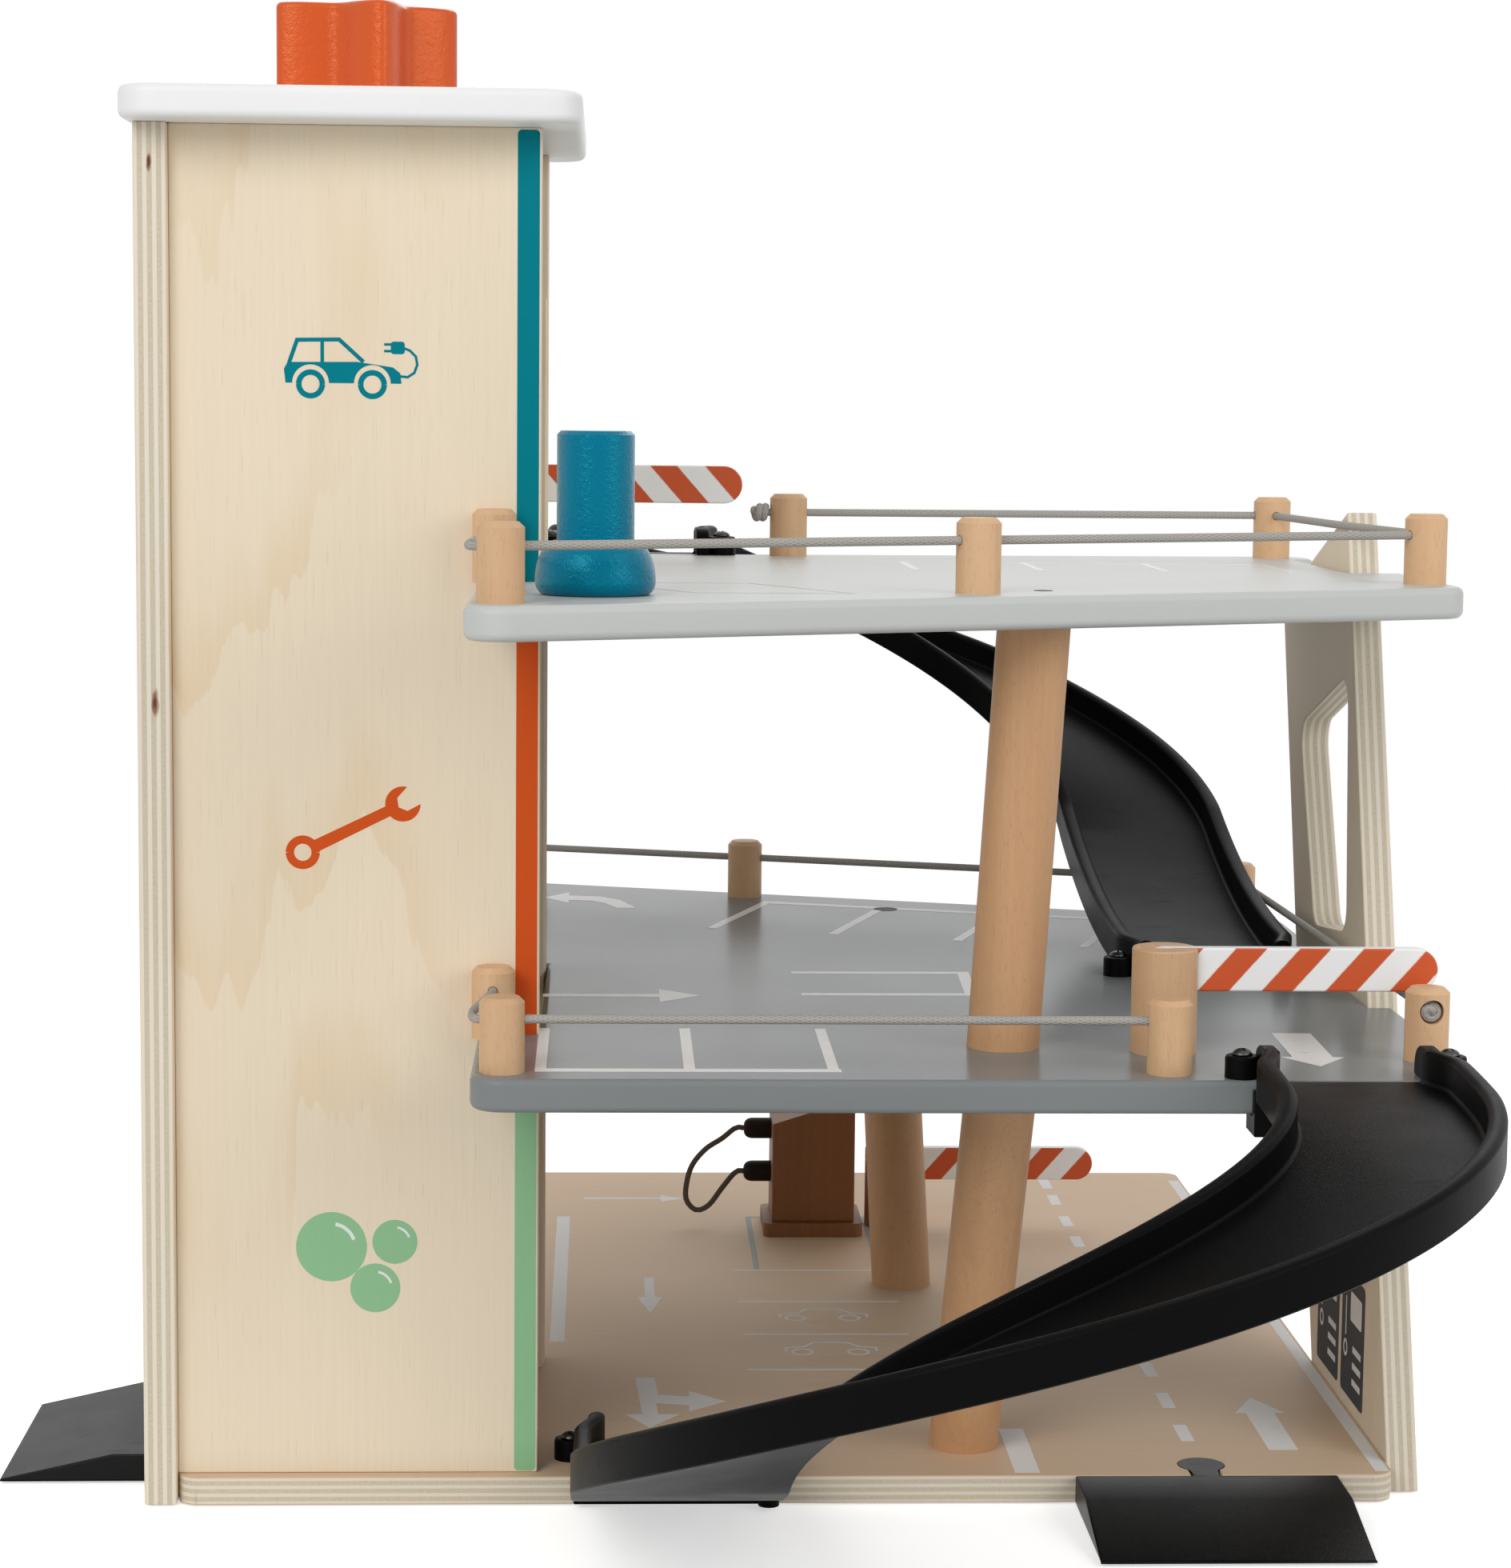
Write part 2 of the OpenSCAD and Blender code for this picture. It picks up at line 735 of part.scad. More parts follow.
module lift_cord() {
    color("Gainsboro")
        placed()
            cord([
                [lead_x, shaft_y, cord_z],
                [lead_x, lead_y - lead_bend, cord_z],
                [lead_x, lead_y - lead_bend / 4, cord_z - lead_bend / 4],
                [lead_x, lead_y, cord_z - lead_bend],
                [lead_x, lead_y, eye_top + 0.3]
            ], lift_cord_r, [1, 0, 0]);
}

// Lift cabin

module lift_floor() {
    color("BurlyWood")
        placed()
            board(lift_x0, lift_x1, lift_y0, lift_y1, lift_z, lift_floor_z);
}

module lift_side_near() {
    color("BurlyWood")
        placed()
            board(lift_x0, lift_x1, lift_y0, lift_y0 + lift_side_t, lift_floor_z, lift_top_z);
}

module lift_side_far() {
    color("BurlyWood")
        placed()
            board(lift_x0, lift_x1, lift_y1 - lift_side_t, lift_y1, lift_floor_z, lift_top_z);
}

module lift_top() {
    color("BurlyWood")
        placed()
            difference() {
                board(lift_x0, lift_x1, lift_y0, lift_y1, lift_top_z, lift_top_z + lift_top_t);
                translate([lead_x, lead_y, lift_top_z + 1])
                    cylinder(h = lift_top_t, r = eye_wire + screw_gap);
            }
}

module lift_eye() {
    color("Silver")
        placed()
            translate([lead_x, lead_y, eye_z]) {
                rotate([0, 90, 0])
                    rotate_extrude()
                        translate([eye_r, 0])
                            circle(r = eye_wire, $fn = 24);
                translate([0, 0, lift_top_z + 1 - eye_z])
                    cylinder(h = eye_z - lift_top_z - 1 - eye_r, r = eye_wire);
            }
}

module guide_strip(y) {
    board(strip_x, strip_x + strip_w, y, y + strip_t, base_t, guide_z);
}

module guide_strip_near() {
    color("BurlyWood")
        placed()
            guide_strip(near_in);
}

module guide_strip_far() {
    color("BurlyWood")
        placed()
            guide_strip(far_in - strip_t);
}

// Decks, wall and columns

module middle_deck() {
    notch_x = base_l - fit_gap;
    notch_y0 = wall_near_at(mid_under) - fit_gap;
    notch_y1 = wall_far_at(mid_top) + fit_gap;
    color("Gray")
        placed()
            difference() {
                translate([0, 0, mid_under])
                    linear_extrude(deck_t)
                        polygon(outline([
                            [deck_left, mid_near, deck_corner], [mid_right, mid_near, deck_corner],
                            [mid_right, notch_y0, 0], [notch_x, notch_y0, 0],
                            [notch_x, notch_y1, 0], [mid_right, notch_y1, 0],
                            [mid_right, mid_far_right, deck_corner],
                            [deck_left_far, mid_far_left, deck_corner],
                            [deck_left_far, far_out + fit_gap, 0], [tower_w + fit_gap, far_out + fit_gap, 0],
                            [tower_w + fit_gap, near_out - fit_gap, 0], [deck_left, near_out - fit_gap, 0]
                        ]));
                at_wall_screws(base_l)
                    screw_hole(screw_grip);
                at_ramp_low()
                    at_upper_lugs()
                        screw_hole(screw_grip);
                at_ramp_up()
                    at_lower_lugs()
                        screw_hole(screw_grip);
                at_column_screw()
                    sunk_hole(deck_t);
            }
}

module upper_deck() {
    notch_x = base_l - fit_gap;
    notch_y0 = wall_near_at(up_under) - fit_gap;
    notch_y1 = wall_top_at(up_under) + fit_gap;
    color("Gainsboro")
        placed()
            difference() {
                translate([0, 0, up_under])
                    linear_extrude(deck_t)
                        polygon(outline([
                            [deck_left, up_near_left, deck_corner], [up_right, up_near_right, deck_corner],
                            [up_right, notch_y0, 0], [notch_x, notch_y0, 0],
                            [notch_x, notch_y1, 0], [up_right_far, notch_y1, 0],
                            [up_right_far, up_far_right, deck_corner],
                            [up_edge_break, up_ramp_edge_at(up_edge_break), 0],
                            [deck_left_far, up_ramp_edge_at(deck_left_far), deck_corner],
                            [deck_left_far, far_out + fit_gap, 0], [tower_w + fit_gap, far_out + fit_gap, 0],
                            [tower_w + fit_gap, near_out - fit_gap, 0], [deck_left, near_out - fit_gap, 0]
                        ]));
                at_wall_screws(base_l)
                    screw_hole(screw_grip);
                at_ramp_up()
                    at_upper_lugs()
                        screw_hole(screw_grip);
            }
}

module leaning_wall() {
    color("BurlyWood")
        placed()
            difference() {
                translate([base_l, 0, 0])
                    rotate([90, 0, 90])
                        linear_extrude(panel_t)
                            difference() {
                                polygon([
                                    [wall_near_at(0), 0], [wall_far_at(0), 0],
                                    [wall_far_at(wall_far_top), wall_far_top],
                                    [wall_near_at(wall_top), wall_top]
                                ]);
                                polygon(outline([for (p = window) [p[0], p[1], window_corner]]));
                            }
                at_wall_screws(base_l + panel_t)
                    sunk_hole(panel_t);
            }
}

// Slanted round column between two levels, with the start of its round face turned off the slant
module column(foot, head, z0, z1) {
    lean = [head[0] - foot[0], head[1] - foot[1], z1 - z0];
    spare = 12;
    face_start = 90;
    along = norm(lean);
    intersection() {
        translate([foot[0], foot[1], z0])
            rotate([0, acos(lean[2] / along), atan2(lean[1], lean[0])])
                rotate([0, 0, face_start])
                    translate([0, 0, -spare])
                        cylinder(h = along + 2 * spare, r = column_r);
        board(0, base_l, -base_d / 2, base_d, z0, z1);
    }
}

module column_front_lower() {
    color("Wheat")
        placed()
            column(column_low_foot, column_low_head, base_t, mid_under);
}

module column_front_upper() {
    color("Wheat")
        placed()
            column(column_low_head, column_up_head, mid_top, up_under);
}

module column_back() {
    color("Wheat")
        placed()
            difference() {
                column(column_far_foot, column_far_head, base_t, mid_under);
                at_column_screw()
                    screw_hole(deck_t + screw_grip);
            }
}

// Railing

function toward(a, b) = atan2(b[1] - a[1], b[0] - a[0]);
function lifted(p, z) = [p[0], p[1], z + hole_h];
function stepped(a, b, d) = a + d * unit(b - a);

// Post with a hole that enters toward way and leaves toward exit; a straight hole needs no exit
module post(p, z, way, exit = undef, blind = false) {
    hole = cord_r + cord_gap;
    past = blind || !is_undef(exit) ? hole : post_r + cut;
    translate([p[0], p[1], z])
        difference() {
            rotate_extrude()
                polygon([
                    [0, 0], [post_r, 0], [post_r, post_h - post_chamfer],
                    [post_r - post_chamfer, post_h], [0, post_h]
                ]);
            translate([0, 0, hole_h])
                rotate([0, 90, way])
                    translate([0, 0, -past])
                        cylinder(h = past + post_r + cut, r = hole);
            if (!is_undef(exit))
                translate([0, 0, hole_h])
                    rotate([0, 90, exit])
                        translate([0, 0, -past])
                            cylinder(h = past + post_r + cut, r = hole + cord_gap / 2);
        }
}

module post_mid_left() {
    color("Gainsboro")
        placed()
            post(mid_left_post, mid_top, 0);
}

module post_mid_tower() {
    color("Gainsboro")
        placed()
            post(post_tower, mid_top, -90, blind = true);
}

module post_mid_front() {
    color("Gainsboro")
        placed()
            post(mid_front_post, mid_top, 180, blind = true);
}

// The near right post hides the knot in a wider hole on its near side
module post_mid_right() {
    way = toward(mid_far_right_post, mid_right_post);
    color("Gainsboro")
        placed()
            difference() {
                post(mid_right_post, mid_top, way);
                translate(lifted(mid_right_post, mid_top))
                    rotate([0, 90, way])
                        translate([0, 0, post_r - 2 * knot_r])
                            cylinder(h = 2 * knot_r + cut, r = knot_r + 2 * cord_gap);
            }
}

module post_mid_far_left() {
    color("Gainsboro")
        placed()
            post(mid_far_left_post, mid_top, toward(mid_far_left_post, mid_far_post), blind = true);
}

module post_mid_far() {
    color("Gainsboro")
        placed()
            post(mid_far_post, mid_top, toward(mid_far_post, mid_far_right_post));
}

module post_mid_far_right() {
    color("Gainsboro")
        placed()
            post(mid_far_right_post, mid_top, toward(mid_far_right_post, mid_far_post),
                toward(mid_far_right_post, mid_right_post));
}

module post_up_left() {
    color("Gainsboro")
        placed()
            post(up_left_post, up_top, 180, toward(up_left_post, up_front_post));
}

module post_up_tower() {
    color("Gainsboro")
        placed()
            post(post_tower, up_top, -90, blind = true);
}

module post_up_front() {
    color("Gainsboro")
        placed()
            post(up_front_post, up_top, toward(up_front_post, up_right_post));
}

module post_up_right() {
    color("Gainsboro")
        placed()
            post(up_right_post, up_top, toward(up_right_post, up_front_post),
                toward(up_right_post, wall_rub));
}

module post_up_far_right() {
    color("Gainsboro")
        placed()
            post(up_far_right_post, up_top, toward(up_far_right_post, wall_rub),
                toward(up_far_right_post, up_far_post));
}

module post_up_far() {
    color("Gainsboro")
        placed()
            post(up_far_post, up_top, toward(up_far_post, up_far_right_post));
}

// Cord from the tower post round the left side of the left post
loop_out = 9;
function tower_lead(left) = [
    post_tower, post_tower - [0, post_r + 3], [left[0] - loop_out - 2, left[1] + 16],
    [left[0] - loop_out - 2, left[1] + 6], [left[0] - loop_out, left[1] + 1.5],
    [left[0] - loop_out + 2.5, left[1]], left
];
knot_out = post_r + knot_r + 0.3;

// Knot, turned so that its seam lies away from the cord
module cord_knot() {
    rotate([0, 0, 180])
        sphere(r = knot_r);
}

module rail_cord_mid_front() {
    color("DimGray")
        placed()
            cord([for (p = concat(tower_lead(mid_left_post), [mid_front_post])) lifted(p, mid_top)],
                cord_r, [0, 0, 1]);
}

module rail_cord_mid_far() {
    knot = stepped(mid_right_post, mid_far_right_post, knot_r - post_r);
    color("DimGray")
        placed() {
            cord([for (p = [mid_far_left_post, mid_far_post, mid_far_right_post, mid_right_post, knot])
                lifted(p, mid_top)], cord_r, [0, 0, 1]);
            translate(lifted(knot, mid_top))
                cord_knot();
        }
}

module rail_cord_up() {
    knot = stepped(up_far_post, up_far_right_post, -knot_out);
    color("DimGray")
        placed() {
            cord([for (p = concat(tower_lead(up_left_post), [up_front_post, up_right_post,
                wall_rub, up_far_right_post, up_far_post, knot])) lifted(p, up_top)], cord_r, [0, 0, 1]);
            translate(lifted(knot, up_top))
                cord_knot();
        }
}

// Barriers

module barrier_post(p, z) {
    slot = arm_t + 2 * arm_gap;
    back = arm_h / 2 + arm_gap;
    translate([p[0], p[1], z])
        difference() {
            cylinder(h = bar_post_h, r = bar_post_r);
            translate([-back, -slot / 2, bar_pivot_h - back])
                cube([back + bar_post_r + cut, slot, bar_post_h]);
            translate([0, pin_l / 2, bar_pivot_h])
                rotate([90, 0, 0])
                    cylinder(h = pin_l, r = pin_r + pin_gap);
        }
}

module barrier_post_low() {
    color("Gainsboro")
        placed()
            barrier_post(bar_low, base_t);
}

module barrier_post_mid() {
    color("Gainsboro")
        placed()
            barrier_post(bar_mid, mid_top);
}

module barrier_post_up() {
    color("Gainsboro")
        placed()
            barrier_post(bar_up, up_top);
}

module barrier_arm(p, z) {
    straight = arm_l - arm_h / 2;
    translate([p[0], p[1] + arm_t / 2, z + bar_pivot_h])
        rotate([90, 0, 0])
            linear_extrude(arm_t)
                difference() {
                    union() {
                        circle(r = arm_h / 2);
                        translate([0, -arm_h / 2])
                            square([straight, arm_h]);
                        translate([straight, 0])
                            circle(r = arm_h / 2);
                    }
                    circle(r = pin_r + pin_gap);
                }
}

module barrier_arm_low() {
    color("White")
        placed()
            barrier_arm(bar_low, base_t);
}

module barrier_arm_mid() {
    color("White")
        placed()
            barrier_arm(bar_mid, mid_top);
}

module barrier_arm_up() {
    color("White")
        placed()
            barrier_arm(bar_up, up_top);
}

module barrier_pins() {
    spots = [[bar_low[0], bar_low[1], base_t], [bar_mid[0], bar_mid[1], mid_top],
        [bar_up[0], bar_up[1], up_top]];
    color("Silver")
        placed()
            for (p = spots)
                translate(p + [0, pin_l / 2, bar_pivot_h])
                    rotate([90, 0, 0])
                        cylinder(h = pin_l, r = pin_r);
}

// Ramps

// Upper end of a side rail, lying on the deck beside the opening
module ramp_rail_end() {
    reach = 11;
    nose = 6;
    steps = 6;
    inset = 0.3;
    into = 3;
    top = ramp_rail_h - inset;
    translate([0, ramp_rail_t / 2 - inset, 0])
        rotate([90, 0, 0])
            linear_extrude(ramp_rail_t - 2 * inset)
                polygon(concat([[into, 0], [into, top]],
                    [for (k = [0:steps])
                        let (a = 90 * k / steps)
                        [nose - reach - nose * sin(a), top - nose + nose * cos(a)]],
                    [[-reach, 0]]));
}

// Clip that holds the upper end of the ramp under the deck's edge
module ramp_clip() {
    clip_w = 9;
    clip_t = 4;
    clip_x = 0.2;
    hook = 8;
    hook_t = 5;
    under = -deck_t - fit_gap;
    translate([0, clip_w / 2, 0])
        rotate([90, 0, 0])
            linear_extrude(clip_w)
                polygon([
                    [clip_x, cut - ramp_floor_t], [clip_x, under], [-hook, under],
                    [-hook, under - hook_t], [clip_t, under - hook_t], [clip_t, cut - ramp_floor_t]
                ]);
}

module lug() {
    cylinder(h = lug_h, r = lug_r);
}

module swept_ramp(rings) {
    polyhedron(flat(rings), swept_faces(len(rings), len(rings[0]), ramp_cap));
}

module ramp_floor() {
    swept_ramp([for (s = ramp_stations) ramp_ring(s, floor_section(ramp_half(s)))]);
    for (side = [-1, 1])
        translate([0, side * (ramp_w - ramp_rail_t) / 2, 0])
            ramp_clip();
}

// Side rails with their upper ends and screw lugs; the lower lugs are cut clear of the floor's edge
module ramp_rails() {
    clear = ramp_half(ramp_len - lug_in - lug_r) + fit_gap;
    clear_h = ramp_floor_t + 2 * ramp_foot_gap + cut;
    difference() {
        union() {
            swept_ramp([for (s = ramp_stations) ramp_ring(s, rail_section(-ramp_half(s)))]);
            swept_ramp([for (s = ramp_stations) ramp_ring(s, rail_section(ramp_half(s) - ramp_rail_t))]);
            for (side = [-1, 1])
                translate([0, side * (ramp_w - ramp_rail_t) / 2, 0])
                    ramp_rail_end();
            at_upper_lugs()
                lug();
            difference() {
                at_lower_lugs()
                    lug();
                translate([ramp_end[0], ramp_end[1], -storey_h])
                    board(0, 2 * lug_in + lug_r, -clear, clear, -cut, clear_h);
            }
        }
        at_upper_lugs()
            translate([0, 0, lug_h])
                screw_hole(lug_h);
        at_lower_lugs()
            translate([0, 0, lug_h])
                screw_hole(lug_h);
    }
}

// The lower ramp has an apron with a rounded lip under it, which stands against the base's front edge
module ramp_low() {
    apron_t = 3;
    apron = ramp_half(ramp_len / 2);
    apron_z = 0.8;
    apron_h = base_t + ramp_floor_t - apron_z;
    lip_r = 3;
    lip_out = 0.5;
    foot_x = ramp_low_x + ramp_end[1];
    color("DimGray")
        placed() {
            at_ramp_low()
                ramp_floor();
            translate([foot_x, -fit_gap - apron_t, apron_z]) {
                board(-apron, apron, 0, apron_t, 0, apron_h);
                translate([apron - lip_out, -lip_out, 0])
                    cylinder(h = apron_h, r = lip_r);
            }
        }
}

module ramp_low_rails() {
    color("DimGray")
        placed()
            at_ramp_low()
                ramp_rails();
}

module ramp_up() {
    color("DimGray")
        placed()
            at_ramp_up()
                ramp_floor();
}

module ramp_up_rails() {
    color("DimGray")
        placed()
            at_ramp_up()
                ramp_rails();
}

module ramp_screws() {
    color("Silver")
        placed() {
            at_ramp_low() {
                at_upper_lugs()
                    translate([0, 0, lug_h])
                        screw(lug_h + screw_grip);
                at_lower_lugs()
                    translate([0, 0, lug_h])
                        screw(lug_h + screw_grip);
            }
            at_ramp_up() {
                at_upper_lugs()
                    translate([0, 0, lug_h])
                        screw(lug_h + screw_grip);
                at_lower_lugs()
                    translate([0, 0, lug_h])
                        screw(lug_h + screw_grip);
            }
        }
}

// Wedge with its tab along +X and its slope along -X
module wedge() {
    translate([0, wedge_w / 2, 0])
        rotate([90, 0, 0])
            linear_extrude(wedge_w)
                polygon([
                    [-tab_gap, 0], [-tab_gap, base_t], [-wedge_flat, base_t], [-wedge_l, wedge_lip],
                    [-wedge_l, 0]
                ]);
    linear_extrude(base_t)
        tab_shape(0, tab_gap + cut);
}

module wedge_front() {
    color("DimGray")
        placed()
            translate([wedge_x, 0, 0])
                rotate([0, 0, 90])
                    wedge();
}

module wedge_left() {
    color("DimGray")
        placed()
            translate([0, door_y, 0])
                wedge();
}

// Bollard and charging station

module bollard() {
    spot = [deck_left + 32.2, -56];
    widest = 3.5;
    foot_round = 2.5;
    steps = 10;
    rim = 1;
    color("SteelBlue")
        placed()
            translate([spot[0], spot[1], up_top])
                rotate_extrude()
                    polygon(concat([[0, 0]],
                        [for (k = [0:steps])
                            let (a = 90 * k / steps)
                            [bulb_r - foot_round + foot_round * sin(a), widest - widest * cos(a)]],
                        [for (k = [1:steps])
                            let (a = 90 * k / steps)
                            [stem_r + (bulb_r - stem_r) * cos(a), widest + (bulb_h - widest) * sin(a)]],
                        [[stem_r, bollard_h - rim], [stem_r - rim, bollard_h], [0, bollard_h]]));
}

module charger_plinth() {
    corner_r = 3;
    color("NavajoWhite")
        placed()
            rounded_board(charger_x - plinth_over, charger_x + charger_w + plinth_over,
                charger_y - plinth_over, charger_y + charger_d + plinth_over, base_t, base_t + plinth_t,
                corner_r);
}

module charger_body() {
    color("NavajoWhite")
        placed()
            translate([charger_x, charger_y + charger_d, base_t + plinth_t])
                rotate([90, 0, 0])
                    linear_extrude(charger_d)
                        polygon([[0, 0], [charger_w, 0], [charger_w, charger_high], [0, charger_low]]);
}

// Plug along -X from the charger's side, with a rounded end
module plug(z) {
    nose = 2;
    steps = 4;
    translate([charger_x, cable_y, z])
        rotate([0, -90, 0])
            rotate_extrude()
                polygon(concat([[0, 0], [plug_r, 0]],
                    [for (k = [0:steps])
                        let (a = 90 * k / steps)
                        [plug_r - nose + nose * cos(a), plug_l - nose + nose * sin(a)]],
                    [[0, plug_l]]));
}

module plug_upper() {
    color("DimGray")
        placed()
            plug(plug_z + plug_pitch);
}

module plug_lower() {
    color("DimGray")
        placed()
            plug(plug_z);
}

module charge_cable() {
    color("DimGray")
        placed()
            cord(cable_path, cable_r, [0, 1, 0]);
}

module panel_screws() {
    color("Silver")
        placed() {
            at_wall_screws(base_l + panel_t)
                sunk_screw(panel_t + screw_grip);
            for (y = [near_out, far_in])
                at_back_screws(-panel_t, y + panel_t / 2)
                    sunk_screw(panel_t + screw_grip);
            at_column_screw()
                sunk_screw(deck_t + screw_grip);
        }
}

base_plate();
tower_panel_near();
tower_panel_far();
tower_panel_back();
roof();
roof_bush();
winding_knob();
winding_axle();
winding_drum();
cord_guide_bar();
lift_cord();
lift_floor();
lift_side_near();
lift_side_far();
lift_top();
lift_eye();
guide_strip_near();
guide_strip_far();
middle_deck();
upper_deck();
leaning_wall();
column_front_lower();
column_front_upper();
column_back();
post_mid_left();
post_mid_tower();
post_mid_front();
post_mid_right();
post_mid_far_left();
post_mid_far();
post_mid_far_right();
post_up_left();
post_up_tower();
post_up_front();
post_up_right();
post_up_far_right();
post_up_far();
rail_cord_mid_front();
rail_cord_mid_far();
rail_cord_up();
barrier_post_low();
barrier_post_mid();
barrier_post_up();
barrier_arm_low();
barrier_arm_mid();
barrier_arm_up();
barrier_pins();
ramp_low();
ramp_low_rails();
ramp_up();
ramp_up_rails();
ramp_screws();
wedge_front();
wedge_left();
bollard();
charger_plinth();
charger_body();
plug_upper();
plug_lower();
charge_cable();
panel_screws();
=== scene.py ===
import math
from types import SimpleNamespace

import bmesh
import bpy
from mathutils import Matrix, Vector


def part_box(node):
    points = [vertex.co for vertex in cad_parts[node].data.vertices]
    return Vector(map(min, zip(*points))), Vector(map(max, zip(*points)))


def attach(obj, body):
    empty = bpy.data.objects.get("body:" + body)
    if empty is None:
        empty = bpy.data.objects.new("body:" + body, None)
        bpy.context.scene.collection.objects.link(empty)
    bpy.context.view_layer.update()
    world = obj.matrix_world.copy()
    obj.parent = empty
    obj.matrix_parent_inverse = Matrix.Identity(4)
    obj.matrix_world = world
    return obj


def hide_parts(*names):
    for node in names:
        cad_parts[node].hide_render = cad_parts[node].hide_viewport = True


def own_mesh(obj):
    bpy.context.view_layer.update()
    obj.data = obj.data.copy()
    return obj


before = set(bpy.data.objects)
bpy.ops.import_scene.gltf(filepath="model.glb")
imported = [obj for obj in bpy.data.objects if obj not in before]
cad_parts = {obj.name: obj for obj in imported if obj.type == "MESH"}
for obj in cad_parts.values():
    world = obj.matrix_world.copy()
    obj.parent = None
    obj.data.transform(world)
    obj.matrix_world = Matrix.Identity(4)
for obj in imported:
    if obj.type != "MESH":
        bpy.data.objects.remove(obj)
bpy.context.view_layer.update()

bl_info = {
    "name": "Toy parking garage",
    "version": (1, 0, 0),
    "blender": (4, 5, 0),
    "location": "3D View > Sidebar > Garage",
    "description": "Finishes, printed markings, cords and screws of a wooden toy parking garage",
    "category": "Object",
}


# Plan of the garage

MM = 0.001
HALF_LENGTH, HALF_DEPTH = 172.5, 193
BASE_TOP, MIDDLE_TOP, UPPER_TOP = 8, 134, 260
TOWER_FRONT, FAR_PANEL, WALL_FACE, BOARD = 4, 114, 345, 9
SHAFT_X, SHAFT_Y = 48, 63.5
SEAM = 2e-6
SHARP = math.radians(50)


def at(x, y, z):
    """A place in metres from the plan's millimetres, counted from the base's left end and front edge."""
    return Vector(((x - HALF_LENGTH) / 1000, (y - HALF_DEPTH) / 1000, z / 1000))


def arc(a, b, radius, start, sweep, steps):
    """Points on an arc round (a, b), with its angles in degrees."""
    turns = [math.radians(start + sweep * k / steps) for k in range(steps + 1)]
    return [(a + radius * math.cos(turn), b + radius * math.sin(turn)) for turn in turns]


def circle(a, b, radius, steps):
    return arc(a, b, radius, 0, 360, steps)[:-1]


def paint_tone(r, g, b):
    """A colour as Blender stores it, from the three numbers of a paint card."""
    return tuple(c / 12.92 if c <= 0.04045 else ((c + 0.055) / 1.055) ** 2.4 for c in (r / 255, g / 255, b / 255))


def length_value(name, text, value):
    return bpy.props.FloatProperty(name=name, description=text, default=value, min=0, precision=5, unit="LENGTH")


def colour_value(name, text, *card):
    return bpy.props.FloatVectorProperty(
        name=name, description=text, default=paint_tone(*card), min=0, max=1, size=3, subtype="COLOR")


class GarageSizes(bpy.types.PropertyGroup):
    ply_edge: length_value("Plywood edge", "Rounding of the plywood boards' edges", 0.0005)
    paint_edge: length_value("Painted edge", "Rounding of the painted boards' edges", 0.0022)
    small_edge: length_value("Small edge", "Rounding of arms, wedges and small blocks", 0.0006)
    fine_edge: length_value("Fine edge", "Rounding of the lift's guides and the charger's plinth", 0.0004)
    post_rim: length_value("Post rim", "Rounding of the barrier posts' upper rims", 0.0007)
    knob_edge: length_value("Knob edge", "Rounding of the winding knob's rims", 0.0016)
    rail_cord: length_value("Railing cord", "Diameter of the elastic railing cords", 0.0024)
    lift_cord: length_value("Lift cord", "Diameter of the cord that carries the cabin", 0.0024)
    cable: length_value("Charging cable", "Diameter of the charging cable", 0.002)
    ink: length_value("Ink", "Thickness of the printed markings", 0.00005)
    stripe: length_value("Barrier stripe", "Pitch of the slanted stripes on the barrier arms", 0.0176)


class GarageColours(bpy.types.PropertyGroup):
    birch: colour_value("Birch", "Face of the plywood", 238, 222, 196)
    birch_flame: colour_value("Birch figure", "Darker streaks in the plywood's face", 228, 198, 154)
    birch_edge: colour_value("Birch edge", "Long plies on the plywood's edges", 230, 222, 206)
    birch_core: colour_value("Birch core", "Cross plies on the plywood's edges", 211, 198, 174)
    beech: colour_value("Beech", "Railing posts and barrier posts", 224, 184, 142)
    column: colour_value("Column beech", "Slanted columns", 211, 164, 120)
    beech_ray: colour_value("Beech rays", "Short dark flecks in the beech", 186, 138, 96)
    stained: colour_value("Stained beech", "Charging station", 138, 90, 50)
    road: colour_value("Road print", "Tint of the base's upper face", 219, 189, 157)
    white: colour_value("White paint", "Roof", 241, 242, 241)
    arm: colour_value("Arm paint", "Barrier arms", 250, 250, 249)
    orange: colour_value("Orange paint", "Knob and barrier stripes", 214, 88, 38)
    middle: colour_value("Middle deck paint", "Middle deck", 133, 137, 138)
    upper: colour_value("Upper deck paint", "Upper deck", 200, 202, 199)
    blue: colour_value("Bollard paint", "Bollard", 0, 112, 142)
    teal: colour_value("Teal ink", "Upper storey", 0, 126, 140)
    rust: colour_value("Orange ink", "Middle storey", 212, 86, 34)
    green: colour_value("Green ink", "Ground storey", 148, 196, 150)
    marking: colour_value("White ink", "Road markings", 238, 236, 234)
    sign: colour_value("Dark ink", "Pump panels on the leaning wall", 72, 74, 78)
    plastic: colour_value("Black plastic", "Ramps and wedges", 12, 12, 12)
    cord: colour_value("Cord", "Elastic railing cords", 178, 174, 167)
    cable: colour_value("Cable", "Charging cable", 98, 90, 84)


def sizes():
    return bpy.context.scene.garage_sizes


def colours():
    """The colours by name, as plain tuples."""
    group = bpy.context.scene.garage_colours
    return SimpleNamespace(**{name: tuple(getattr(group, name)) for name in group.__annotations__})


# Shader maths

def new_node(tree, kind, sockets, settings):
    """A node with its settings made and its inputs linked, or set where they are plain values."""
    made = tree.nodes.new(kind)
    for key, value in settings.items():
        setattr(made, key, value)
    for key, value in (sockets or {}).items():
        if isinstance(value, bpy.types.NodeSocket):
            tree.links.new(value, made.inputs[key])
        else:
            made.inputs[key].default_value = value
    return made


